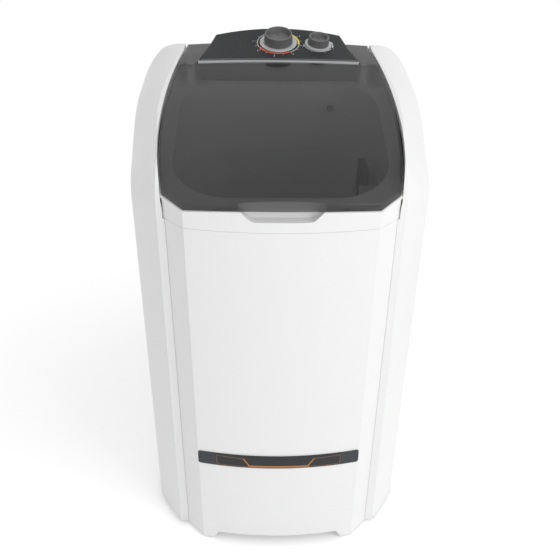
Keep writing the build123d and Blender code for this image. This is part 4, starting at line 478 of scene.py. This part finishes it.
@dataclass(frozen=True)
class SmokedShell:
    """The lid's polished smoke-grey plastic: it shows the tub faintly, and a mask hides the hinges."""

    name: str = "smoked_lid"
    tone: Colour = (0.026, 0.026, 0.0275)
    cover: float = 0.52
    gloss: float = 0.09
    drift: float = 0.03
    mottle: float = 0.1
    dust: float = 0.03
    shine: float = 0.3
    grain_scale: float = 1800.0
    grain_depth: float = 0.0003 * MM
    mask_tone: Colour = (0.042, 0.042, 0.044)
    mask_cover: float = 0.90
    mask_from: float = 0.150
    mask_to: float = 0.172

    def make(self, effects: Effects) -> bpy.types.Material:
        """Build the material.

        Args:
            effects: The shared groups.

        Returns:
            The material.
        """
        material, graph, shader = start_material(self.name, self.tone)
        place = graph.add("SeparateXYZ")
        graph.join(graph.add("TexCoord").outputs["Object"], place.inputs[0])
        mask = graph.add("MapRange", {"From Min": self.mask_from, "From Max": self.mask_to},
                         interpolation_type="SMOOTHSTEP")
        graph.join(place.outputs["Y"], mask.inputs["Value"])
        shade = graph.blend(mask.outputs[0], self.tone, self.mask_tone)
        skin = place_group(graph, effects.skin, Tone=shade, Mottle=self.mottle,
                           Grain_Scale=self.grain_scale, Gloss=self.gloss, Gloss_Drift=self.drift)
        colour = place_group(graph, effects.dust, Tone=skin.outputs["Tone"], Amount=self.dust).outputs[0]
        graph.join(colour, shader.inputs["Base Color"])
        graph.join(skin.outputs["Roughness"], shader.inputs["Roughness"])
        shader.inputs["Specular IOR Level"].default_value = self.shine
        masked = graph.maths("MULTIPLY", mask.outputs[0], self.mask_cover - self.cover)
        graph.join(graph.maths("ADD", masked, self.cover), shader.inputs["Alpha"])
        bump(graph, shader, skin.outputs["Height"], self.grain_depth, 0.0)
        return material


@dataclass(frozen=True)
class DottedStrip:
    """The front strip's dark printed foil with dotted ends."""

    name: str = "strip_dark"
    tone: Colour = (0.030, 0.031, 0.033)
    dot: Colour = (0.085, 0.10, 0.115)
    dots_from: float = 0.130
    mottle: float = 0.15
    gloss: float = 0.34
    drift: float = 0.06
    shine: float = 0.25
    grain_depth: float = 0.005 * MM
    edge: float = 0.5 * MM

    def make(self, effects: Effects) -> bpy.types.Material:
        """Build the material.

        Args:
            effects: The shared groups.

        Returns:
            The material.
        """
        material, graph, shader = start_material(self.name, self.tone)
        skin = place_group(graph, effects.skin, Tone=self.tone, Mottle=self.mottle, Gloss=self.gloss,
                           Gloss_Drift=self.drift)
        dots = place_group(graph, effects.dots, Tone=skin.outputs["Tone"], Dot=self.dot,
                           Start=self.dots_from)
        graph.join(dots.outputs[0], shader.inputs["Base Color"])
        graph.join(skin.outputs["Roughness"], shader.inputs["Roughness"])
        shader.inputs["Specular IOR Level"].default_value = self.shine
        bump(graph, shader, skin.outputs["Height"], self.grain_depth, self.edge)
        return material


WHITE_PANEL = Moulding("white_panel", (0.86, 0.86, 0.86), 0.32, mottle=0.05, grain_depth=0.012 * MM,
                       dust=0.03)
WHITE_INNER = Moulding("white_inner", (0.80, 0.80, 0.80), 0.45, mottle=0.12, wear=0.05)
CONSOLE_FOIL = Moulding("console_overlay", (0.019, 0.021, 0.023), 0.5, mottle=0.2, grain_scale=1500.0,
                        grain_depth=0.004 * MM, shine=0.1)
CONSOLE_GREY = Moulding("console_grey", (0.100, 0.100, 0.102), 0.6, mottle=0.2, grain_depth=0.002 * MM,
                        edge=0.0, shine=0.2)
TRIM_GREY = Moulding("trim_grey", (0.45, 0.46, 0.47), 0.25, mottle=0.1, coat=0.4)
KNOB_GREY = Moulding("knob_grey", (0.105, 0.105, 0.108), 0.42, mottle=0.2, grain_depth=0.03 * MM,
                     wear=0.12, worn=(0.3, 0.3, 0.3))
PALE_RUBBER = Moulding("pale_rubber", (0.50, 0.50, 0.49), 0.6, mottle=0.2, grain_scale=1400.0,
                       grain_depth=0.04 * MM)
BLACK_RUBBER = Moulding("black_rubber", (0.022, 0.022, 0.022), 0.72, mottle=0.5, grain_scale=1400.0,
                        grain_depth=0.06 * MM, sheen=0.2, dust=0.2)
BLACK_PLASTIC = Moulding("black_plastic", (0.03, 0.03, 0.031), 0.5, mottle=0.3, grain_depth=0.05 * MM,
                         dust=0.12)
HOSE_GREY = Moulding("hose_grey", (0.30, 0.31, 0.32), 0.55, mottle=0.3, grain_depth=0.04 * MM, dust=0.1)
SLEEVE = Moulding("wire_sleeve", (0.05, 0.05, 0.05), 0.6, mottle=0.3, grain_scale=2400.0,
                  grain_depth=0.1 * MM)
CAPACITOR_CASE = Moulding("capacitor_case", (0.62, 0.61, 0.58), 0.5, mottle=0.15)
FILTER_FRAME = Moulding("filter_frame", (0.018, 0.019, 0.02), 0.6, mottle=0.2)
FILTER_MESH = Moulding("filter_mesh", (0.016, 0.017, 0.018), 0.6, mottle=0.2, edge=0.0)
STEEL = Metal("steel", (0.56, 0.56, 0.57), (0.3, 0.29, 0.27), 0.24)
ZINC_SHEET = Metal("zinc_sheet", (0.50, 0.51, 0.53), (0.33, 0.33, 0.32), 0.38, stretch=14.0)
CAST = Metal("cast_housing", (0.58, 0.58, 0.59), (0.3, 0.3, 0.3), 0.42, stretch=30.0, depth=0.06 * MM)
BRONZE = Metal("bronze", (0.46, 0.27, 0.11), (0.16, 0.09, 0.04), 0.42, stretch=30.0)
MOTOR_PAINT = Metal("motor_paint", (0.10, 0.105, 0.11), (0.05, 0.05, 0.05), 0.42, stretch=16.0,
                    metallic=0.0)

DRESSED = {
    WHITE_PANEL: ("side_panel_left", "side_panel_right", "front_panel", "top_frame"),
    WHITE_INNER: ("rear_panel", "rear_service_cover", "base_frame", "wash_tub", "impeller", "fill_spout"),
    SmokedShell(): ("lid",),
    DottedStrip(): ("front_strip",),
    CONSOLE_FOIL: ("console_face",),
    CONSOLE_GREY: ("console_housing",),
    TRIM_GREY: ("console_trim", "timer_bezel", "selector_bezel"),
    KNOB_GREY: ("timer_knob", "selector_knob"),
    PALE_RUBBER: ("lid_bumpers",),
    BLACK_RUBBER: ("rubber_feet", "shaft_seal", "drive_belt", "motor_mounts"),
    BLACK_PLASTIC: ("bearing_housing", "timer_unit", "selector_switch", "cord_inlet", "drain_elbow",
                    "drain_outlet", "inlet_nipple"),
    HOSE_GREY: ("drain_hose_inner",),
    SLEEVE: ("wiring_harness",),
    CAPACITOR_CASE: ("capacitor",),
    FILTER_FRAME: ("lint_filter_frame",),
    FILTER_MESH: ("lint_filter_mesh",),
    STEEL: ("service_cover_screws", "housing_screws", "drive_shaft", "impeller_screw", "pulley_nut",
            "motor_shaft", "hinge_pin_left", "hinge_pin_right", "motor_bolts", "hose_clamps"),
    ZINC_SHEET: ("motor_bracket", "capacitor_clamp"),
    CAST: ("driven_pulley", "motor_pulley"),
    BRONZE: ("upper_bush", "lower_bush"),
    MOTOR_PAINT: ("motor_body",),
}


def dress_nodes(nodes: dict[str, bpy.types.Object], effects: Effects) -> None:
    """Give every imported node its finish.

    Args:
        nodes: The frame's nodes.
        effects: The shared groups.
    """
    for finish, names in DRESSED.items():
        material = finish.make(effects)
        for name in names:
            nodes[name].data.materials.clear()
            nodes[name].data.materials.append(material)


def finished_piece(bm: bmesh.types.BMesh, name: str, material: bpy.types.Material, body: Body
                   ) -> bpy.types.Object:
    """Turn a bmesh into a piece that rides on a body.

    Args:
        bm: The mesh, which is freed.
        name: The piece's name.
        material: Its material.
        body: The body that carries it.

    Returns:
        The piece.
    """
    bmesh.ops.remove_doubles(bm, verts=bm.verts, dist=WELD)
    bmesh.ops.recalc_face_normals(bm, faces=bm.faces)
    mesh = bpy.data.meshes.new(name)
    bm.to_mesh(mesh)
    bm.free()
    mesh.materials.append(material)
    piece = bpy.data.objects.new(name, mesh)
    bpy.context.scene.collection.objects.link(piece)
    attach(piece, body.value)
    LOG.info("%s rides on %s with %d faces", name, body.value, len(mesh.polygons))
    return piece


class Skin:
    """A node's surface, on which prints are laid."""

    def __init__(self, node: bpy.types.Object) -> None:
        """Read a node.

        Args:
            node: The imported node.
        """
        self.tree = BVHTree.FromPolygons([vertex.co for vertex in node.data.vertices],
                                         [face.vertices for face in node.data.polygons])

    def lay(self, bm: bmesh.types.BMesh, away: Vector, thick: float) -> None:
        """Lay a flat sheet on the surface and give it thickness.

        Args:
            bm: A sheet that floats off the surface.
            away: The direction from the surface to the sheet.
            thick: The print's thickness in metres.
        """
        for vertex in bm.verts:
            hit, _, _, _ = self.tree.ray_cast(vertex.co + away * SKIN_REACH, -away)
            if hit is not None:
                vertex.co = hit - away * thick / 2
        grown = bmesh.ops.extrude_face_region(bm, geom=bm.faces[:])
        tops = [item for item in grown["geom"] if isinstance(item, bmesh.types.BMVert)]
        bmesh.ops.translate(bm, verts=tops, vec=away * thick * 1.5)


def ribbon(bm: bmesh.types.BMesh, points: list[Vector], width: float, facing: Vector) -> None:
    """Draw a flat mitred ribbon along points.

    Args:
        bm: The mesh to add to.
        points: The middle line.
        width: The ribbon's width.
        facing: The direction that the ribbon faces.
    """
    runs = [(second - first).normalized() for first, second in zip(points, points[1:])]
    pair: list[bmesh.types.BMVert] = []
    for index, point in enumerate(points):
        before, after = runs[max(index - 1, 0)], runs[min(index, len(runs) - 1)]
        along = (before + after).normalized()
        side = facing.cross(along).normalized() * width / 2 / max(along.dot(before), MITRE_LIMIT)
        if not pair:
            pair = [bm.verts.new(point - side), bm.verts.new(point + side)]
            edge = bm.edges.new(pair)
        else:
            made = bmesh.ops.extrude_edge_only(bm, edges=[edge])["geom"]
            edge = next(item for item in made if isinstance(item, bmesh.types.BMEdge))
            left, right = edge.verts
            if (left.co - pair[0].co).length > (right.co - pair[0].co).length:
                left, right = right, left
            left.co, right.co = point - side, point + side
            pair = [left, right]


def stepped(points: list[Vector], step: float) -> list[Vector]:
    """Add points along runs so that a ribbon can follow a bowed face.

    Args:
        points: The corners.
        step: The longest run wanted.

    Returns:
        The corners with points between them.
    """
    line = [points[0]]
    for first, second in zip(points, points[1:]):
        parts = max(1, math.ceil((second - first).length / step))
        line += [first.lerp(second, part / parts) for part in range(1, parts + 1)]
    return line


@dataclass
class DialPrint:
    """The printing round one knob: arcs, ticks and plain numbers on the console's sloping face."""

    name: str
    centre: Vector
    pitch: float
    skin: Skin
    inks: dict[Ink, bpy.types.Material]
    thick: float = 0.15 * MM
    arc_step: float = 4.0

    def __post_init__(self) -> None:
        """Work out the face's axes."""
        self.across = Vector((1, 0, 0))
        self.up = Vector((0, math.cos(self.pitch), math.sin(self.pitch)))
        self.away = self.across.cross(self.up)

    def spot(self, radius: float, degrees: float) -> Vector:
        """Find a place on the face by its distance from the knob's axis and its angle.

        Args:
            radius: The distance in metres.
            degrees: The angle from the right, anticlockwise.

        Returns:
            The place.
        """
        turn = math.radians(degrees)
        return self.centre + self.across * radius * math.cos(turn) + self.up * radius * math.sin(turn)

    def finish(self, bm: bmesh.types.BMesh, label: str, ink: Ink) -> None:
        """Lay a flat print on the face and keep it as a piece."""
        self.skin.lay(bm, self.away, self.thick)
        finished_piece(bm, f"{self.name}_{label}", self.inks[ink], Body.ROOT)

    def arcs(self, label: str, ink: Ink, spans: list[tuple[float, float, float, float]]) -> None:
        """Print flat arcs.

        Args:
            label: The end of the piece's name.
            ink: The colour.
            spans: Inner radius, outer radius, first angle and last angle of each arc.
        """
        bm = bmesh.new()
        for inner, outer, first, last in spans:
            start = [bm.verts.new(self.spot(inner, first)), bm.verts.new(self.spot(outer, first))]
            steps = max(2, round(abs(last - first) / self.arc_step))
            bmesh.ops.spin(bm, geom=[*start, bm.edges.new(start)], cent=self.centre, axis=self.away,
                           angle=math.radians(last - first), steps=steps, use_merge=False,
                           use_duplicate=False)
        self.finish(bm, label, ink)

    def ticks(self, label: str, ink: Ink, inner: float, outer: float, width: float, angles: list[float]
              ) -> None:
        """Print short radial lines.

        Args:
            label: The end of the piece's name.
            ink: The colour.
            inner: Where each line starts.
            outer: Where it ends.
            width: Its width.
            angles: The lines' angles.
        """
        bm = bmesh.new()
        for degrees in angles:
            ribbon(bm, [self.spot(inner, degrees), self.spot(outer, degrees)], width, self.away)
        self.finish(bm, label, ink)

    def numbers(self, label: str, ink: Ink, radius: float, tall: float, marks: dict[str, float]) -> None:
        """Print plain numbers round the knob.

        Args:
            label: The end of the piece's name.
            ink: The colour.
            radius: The numbers' distance from the knob's axis.
            tall: Their height.
            marks: The angle of each number.
        """
        bm = bmesh.new()
        for text, degrees in marks.items():
            curve = bpy.data.curves.new(f"{self.name}_{text}", "FONT")
            curve.body, curve.size, curve.resolution_u = text, tall, 3
            curve.align_x, curve.align_y = "CENTER", "CENTER"
            writing = bpy.data.objects.new(curve.name, curve)
            flat = bpy.data.meshes.new_from_object(writing)
            spot = self.spot(radius, degrees)
            basis = Matrix((self.across, self.up, self.away)).transposed().to_4x4()
            flat.transform(Matrix.Translation(spot) @ basis)
            bm.from_mesh(flat)
            bpy.data.objects.remove(writing)
            bpy.data.curves.remove(curve)
            bpy.data.meshes.remove(flat)
        self.finish(bm, label, ink)


@dataclass
class Console:
    """The console's printing round its two knobs."""

    nodes: dict[str, bpy.types.Object]
    inks: dict[Ink, bpy.types.Material]
    joints: dict[str, dict]
    line: float = 1.2 * MM
    scale_inner: float = 42.0 * MM
    scale_outer: float = 46.0 * MM
    red_arc: tuple[float, float] = (204.0, 303.0)
    amber_arc: tuple[float, float] = (-8.0, 52.0)
    line_arcs: tuple[tuple[float, float], ...] = ((120.0, 203.0), (304.0, 351.0))
    tick_gap: float = 1.5 * MM
    tick_end: float = 5.0 * MM
    tick_width: float = 0.7 * MM
    tick_from: float = 150.0
    tick_turn: float = 22.0
    tick_count: int = 12
    number_gap: float = 9.0 * MM
    number_tall: float = 6.0 * MM
    number_count: int = 6
    small_inner: float = 30.5 * MM
    small_outer: float = 33.0 * MM
    small_arc: tuple[float, float] = (185.0, 330.0)
    small_ranges: tuple[tuple[float, float], ...] = ((-18.0, 2.0), (8.0, 26.0))
    small_gap: float = 1.2 * MM
    small_end: float = 3.6 * MM
    small_width: float = 0.6 * MM
    small_from: float = 200.0
    small_turn: float = 45.0
    small_count: int = 4

    def dial(self, name: str, joint: str) -> DialPrint:
        """Start the printing round a knob.

        Args:
            name: The dial's name.
            joint: The knob's joint, which gives its axis and place.

        Returns:
            The dial.
        """
        axis, centre = Vector(self.joints[joint]["axis"]), Vector(self.joints[joint]["pos_m"])
        pitch = math.atan2(abs(axis.y), abs(axis.z))
        return DialPrint(name, centre, pitch, Skin(self.nodes["console_face"]), self.inks)

    def tick_angle(self, index: int) -> float:
        """Find a tick's angle on the timer's scale.

        Args:
            index: The tick's place, from 0.

        Returns:
            Its angle from the right, anticlockwise.
        """
        return (self.tick_from + self.tick_turn * index) % 360.0

    def timer(self) -> None:
        """Print the timer's scale."""
        dial = self.dial("timer_scale", "timer_turn")
        inner, outer = self.scale_inner, self.scale_outer
        dial.arcs("red", Ink.RED, [(inner, outer, *self.red_arc)])
        dial.arcs("amber", Ink.AMBER, [(inner, outer, *self.amber_arc)])
        dial.arcs("line", Ink.WHITE, [(outer - self.line, outer, *arc) for arc in self.line_arcs])
        dial.ticks("ticks", Ink.WHITE, outer + self.tick_gap, outer + self.tick_end, self.tick_width,
                   [self.tick_angle(index) for index in range(self.tick_count)])
        dial.numbers("numbers", Ink.WHITE, outer + self.number_gap, self.number_tall,
                     {str(count + 1): self.tick_angle(2 * count + 1) for count in range(self.number_count)})

    def selector(self) -> None:
        """Print the small knob's marks."""
        dial = self.dial("selector_scale", "selector_turn")
        inner, outer = self.small_inner, self.small_outer
        dial.arcs("line", Ink.WHITE, [(inner, inner + self.line, *self.small_arc)])
        dial.arcs("range", Ink.WHITE, [(inner, outer, *arc) for arc in self.small_ranges])
        dial.ticks("ticks", Ink.WHITE, outer + self.small_gap, outer + self.small_end, self.small_width,
                   [self.small_from + self.small_turn * index for index in range(self.small_count)])

    def build(self) -> None:
        """Print both dials."""
        self.timer()
        self.selector()


@dataclass
class StripPrint:
    """The front strip's frame line, its dipped orange line and the stroke under the dip."""

    nodes: dict[str, bpy.types.Object]
    inks: dict[Ink, bpy.types.Material]
    frame_half: float = 128.0 * MM
    dip_outer: float = 73.0 * MM
    dip_inner: float = 61.0 * MM
    thick: float = 0.15 * MM
    step: float = 12.0 * MM
    fine: float = 1.1 * MM
    bold: float = 2.0 * MM
    stand_off: float = 5.0 * MM
    frame_drop: float = 5.0 * MM
    dip_drop: float = 8.0 * MM
    dip_rise: float = 5.4 * MM
    foot_rise: float = 2.6 * MM
    foot_slope: float = 1.0 * MM
    foot_lap: float = 4.0 * MM
    stroke_rise: float = 1.2 * MM
    stroke_lap: float = 3.0 * MM

    def __post_init__(self) -> None:
        """Read the strip's box and face."""
        self.low, self.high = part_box("front_strip")
        self.skin = Skin(self.nodes["front_strip"])

    def draw(self, name: str, ink: Ink, width: float, lines: list[list[tuple[float, float]]]) -> None:
        """Print lines of one width.

        Args:
            name: The piece's name.
            ink: Their colour.
            width: Their width.
            lines: The corners of each line, across and up.
        """
        front, away = self.low[1] - self.stand_off, Vector((0, -1, 0))
        bm = bmesh.new()
        for line in lines:
            ribbon(bm, stepped([Vector((x, front, z)) for x, z in line], self.step), width, away)
        self.skin.lay(bm, away, self.thick)
        finished_piece(bm, name, self.inks[ink], Body.ROOT)

    def build(self) -> None:
        """Lay the lines on the strip."""
        foot, top = self.low[2], self.high[2]
        frame_level, dip_level = top - self.frame_drop, top - self.dip_drop
        dip_foot, frame_foot = foot + self.dip_rise, foot + self.foot_rise
        self.draw("strip_frame_line", Ink.BROWN, self.fine, [
            [(side * self.dip_outer, dip_level), (side * self.frame_half, frame_level),
             (side * self.frame_half, frame_foot + self.foot_slope),
             (side * (self.dip_inner + self.foot_lap), frame_foot)] for side in (-1, 1)])
        self.draw("strip_dip_line", Ink.ORANGE, self.bold, [
            [(-self.dip_outer, dip_level), (-self.dip_inner, dip_foot), (self.dip_inner, dip_foot),
             (self.dip_outer, dip_level)]])
        wide = dip_foot - self.bold / 2 - foot - self.stroke_rise
        level = foot + self.stroke_rise + wide / 2
        reach = self.dip_inner + self.stroke_lap
        self.draw("strip_stroke", Ink.BROWN, wide, [[(-reach, level), (reach, level)]])


@dataclass
class FilterNet:
    """The woven net of the lint filter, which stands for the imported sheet."""

    nodes: dict[str, bpy.types.Object]
    material: bpy.types.Material
    pitch: float = 2.2 * MM
    strand: float = 1.3 * MM

    def build(self) -> None:
        """Weave the net inside the sheet's box."""
        low, high = (Vector(corner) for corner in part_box("lint_filter_mesh"))
        wide, tall = high.y - low.y, high.z - low.z
        columns, rows = round(wide / self.pitch), round(tall / self.pitch)
        bm = bmesh.new()
        bmesh.ops.create_grid(bm, x_segments=columns, y_segments=rows, size=0.5)
        bmesh.ops.scale(bm, vec=(wide, tall, 1), verts=bm.verts)
        bmesh.ops.rotate(bm, matrix=Matrix(((0, 0, 1), (1, 0, 0), (0, 1, 0))), verts=bm.verts)
        bmesh.ops.translate(bm, vec=(low + high) / 2, verts=bm.verts)
        bmesh.ops.wireframe(bm, faces=bm.faces[:], thickness=self.strand, use_replace=True,
                            use_boundary=True, use_even_offset=True)
        net = finished_piece(bm, "lint_net", self.material, Body.FILTER)
        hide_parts("lint_filter_mesh")


def mix_shaders(graph: Graph, share: bpy.types.NodeSocket, first: bpy.types.Node, second: bpy.types.Node
                ) -> bpy.types.Node:
    """Mix two shaders.

    Args:
        graph: The graph of a material or the world.
        share: The second shader's share.
        first: A shader node.
        second: A shader node.

    Returns:
        The mixing node.
    """
    both = graph.add("MixShader")
    graph.join(share, both.inputs[0])
    graph.join(first.outputs[0], both.inputs[1])
    graph.join(second.outputs[0], both.inputs[2])
    return both


def showing_rays(graph: Graph) -> bpy.types.NodeSocket:
    """Tell rays that show a background from rays that carry light.

    Args:
        graph: The graph of a material or the world.

    Returns:
        1 for camera, glossy and transmission rays, and 0 for the others.
    """
    path = graph.add("LightPath")
    direct = graph.maths("MAXIMUM", path.outputs["Is Camera Ray"], path.outputs["Is Glossy Ray"])
    return graph.maths("MAXIMUM", direct, path.outputs["Is Transmission Ray"])


@dataclass
class Studio:
    """A pale floor, plain soft light and the camera at the photograph's view."""

    lens: float = 48.73
    sensor: float = 36.0
    camera_place: Place = (-0.0345, -1.448, 1.352)
    camera_pitch: float = 30.0
    camera_turn: float = 1.56
    camera_roll: float = 0.83
    floor_tone: Colour = (0.93, 0.93, 0.93)
    floor_half: float = 6.0
    ambient: float = 0.57
    near: float = 0.45
    far: float = 1.2
    lift: float = 0.31
    aim: Place = (0.0, 0.0, 0.55)
    lamps: tuple[tuple[str, Place, float, float], ...] = (
        ("key", (2.4, -2.0, 2.2), 46.0, 2.2),
        ("fill", (-0.6, -3.0, 1.6), 12.0, 2.4),
        ("crown", (0.3, -0.9, 3.6), 10.0, 2.4),
    )

    def camera(self) -> None:
        """Set the camera."""
        pitch, turn, roll = map(math.radians, (self.camera_pitch, self.camera_turn, self.camera_roll))
        ahead = Vector((math.sin(turn) * math.cos(pitch), math.cos(turn) * math.cos(pitch), -math.sin(pitch)))
        level = Vector((math.cos(turn), -math.sin(turn), 0.0))
        above = level.cross(ahead)
        right = level * math.cos(roll) + above * math.sin(roll)
        top = above * math.cos(roll) - level * math.sin(roll)
        data = bpy.data.cameras.new("photo_view")
        data.lens, data.sensor_width = self.lens, self.sensor
        camera = bpy.data.objects.new("photo_view", data)
        facing = Matrix((right, top, -ahead)).transposed().to_4x4()
        camera.matrix_world = Matrix.Translation(self.camera_place) @ facing
        bpy.context.scene.collection.objects.link(camera)
        bpy.context.scene.camera = camera

    def world(self) -> None:
        """Light the scene evenly and show white behind it."""
        world = bpy.data.worlds.new("studio")
        world.use_nodes = True
        world.node_tree.nodes.clear()
        graph = Graph(world.node_tree)
        glow = graph.add("Background", {"Color": (1, 1, 1, 1), "Strength": self.ambient})
        white = graph.add("Background", {"Color": (1, 1, 1, 1), "Strength": 1.0})
        shown = mix_shaders(graph, showing_rays(graph), glow, white)
        graph.join(shown.outputs[0], graph.add("OutputWorld").inputs[0])
        bpy.context.scene.world = world

    def floor(self) -> None:
        """Lay the floor, which shows as white except where the machine shades it."""
        bm = bmesh.new()
        bmesh.ops.create_grid(bm, x_segments=1, y_segments=1, size=self.floor_half)
        mesh = bpy.data.meshes.new("studio_floor")
        bm.to_mesh(mesh)
        bm.free()
        material, graph, shader = start_material("studio_floor", self.floor_tone)
        shader.inputs["Base Color"].default_value = (*self.floor_tone, 1.0)
        shader.inputs["Roughness"].default_value = 1.0
        shader.inputs["Specular IOR Level"].default_value = 0.0
        distance = graph.add("VectorMath", operation="LENGTH")
        graph.join(graph.add("TexCoord").outputs["Object"], distance.inputs[0])
        away = graph.add("MapRange", {"From Min": self.near, "From Max": self.far},
                         interpolation_type="SMOOTHSTEP")
        graph.join(distance.outputs["Value"], away.inputs["Value"])
        lift = graph.add("Emission", {"Strength": self.lift})
        lifted = graph.add("AddShader")
        graph.join(shader.outputs[0], lifted.inputs[0])
        graph.join(lift.outputs[0], lifted.inputs[1])
        shown = mix_shaders(graph, away.outputs[0], lifted, graph.add("Emission", {"Strength": 1.0}))
        output = next(node for node in graph.tree.nodes if node.type == "OUTPUT_MATERIAL")
        graph.join(mix_shaders(graph, showing_rays(graph), shader, shown).outputs[0], output.inputs[0])
        mesh.materials.append(material)
        floor = bpy.data.objects.new("studio_floor", mesh)
        bpy.context.scene.collection.objects.link(floor)

    def lights(self) -> None:
        """Hang the soft lamps, each aimed at the machine's middle."""
        for name, place, power, size in self.lamps:
            lamp = bpy.data.lights.new(name, "AREA")
            lamp.energy, lamp.size = power, size
            lamp.shape = "SQUARE"
            holder = bpy.data.objects.new(name, lamp)
            holder.location = place
            holder.rotation_euler = (Vector(self.aim) - Vector(place)).to_track_quat("-Z", "Y").to_euler()
            bpy.context.scene.collection.objects.link(holder)

    def build(self) -> None:
        """Set up the camera, the world, the floor and the lamps."""
        self.camera()
        self.world()
        self.floor()
        self.lights()
        bpy.context.scene.view_settings.view_transform = "Standard"


def make_inks(effects: Effects) -> dict[Ink, bpy.types.Material]:
    """Make a material for each printed colour.

    Args:
        effects: The shared groups.

    Returns:
        The materials by ink.
    """
    made = {}
    for ink in Ink:
        finish = Moulding(f"ink_{ink.name.lower()}", ink.value, 0.4, mottle=0.15, edge=0.0, dust=0.02)
        made[ink] = finish.make(effects)
    return made


def main() -> None:
    """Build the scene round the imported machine."""
    logging.basicConfig(level=logging.INFO, format="%(message)s")
    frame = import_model()
    Studio().build()
    effects = Effects()
    dress_nodes(frame["nodes"], effects)
    inks = make_inks(effects)
    joints = {joint["name"]: joint for joint in frame["joints"]}
    Console(frame["nodes"], inks, joints).build()
    StripPrint(frame["nodes"], inks).build()
    FilterNet(frame["nodes"], frame["nodes"]["lint_filter_mesh"].data.materials[0]).build()


if __name__ == "__main__":
    main()
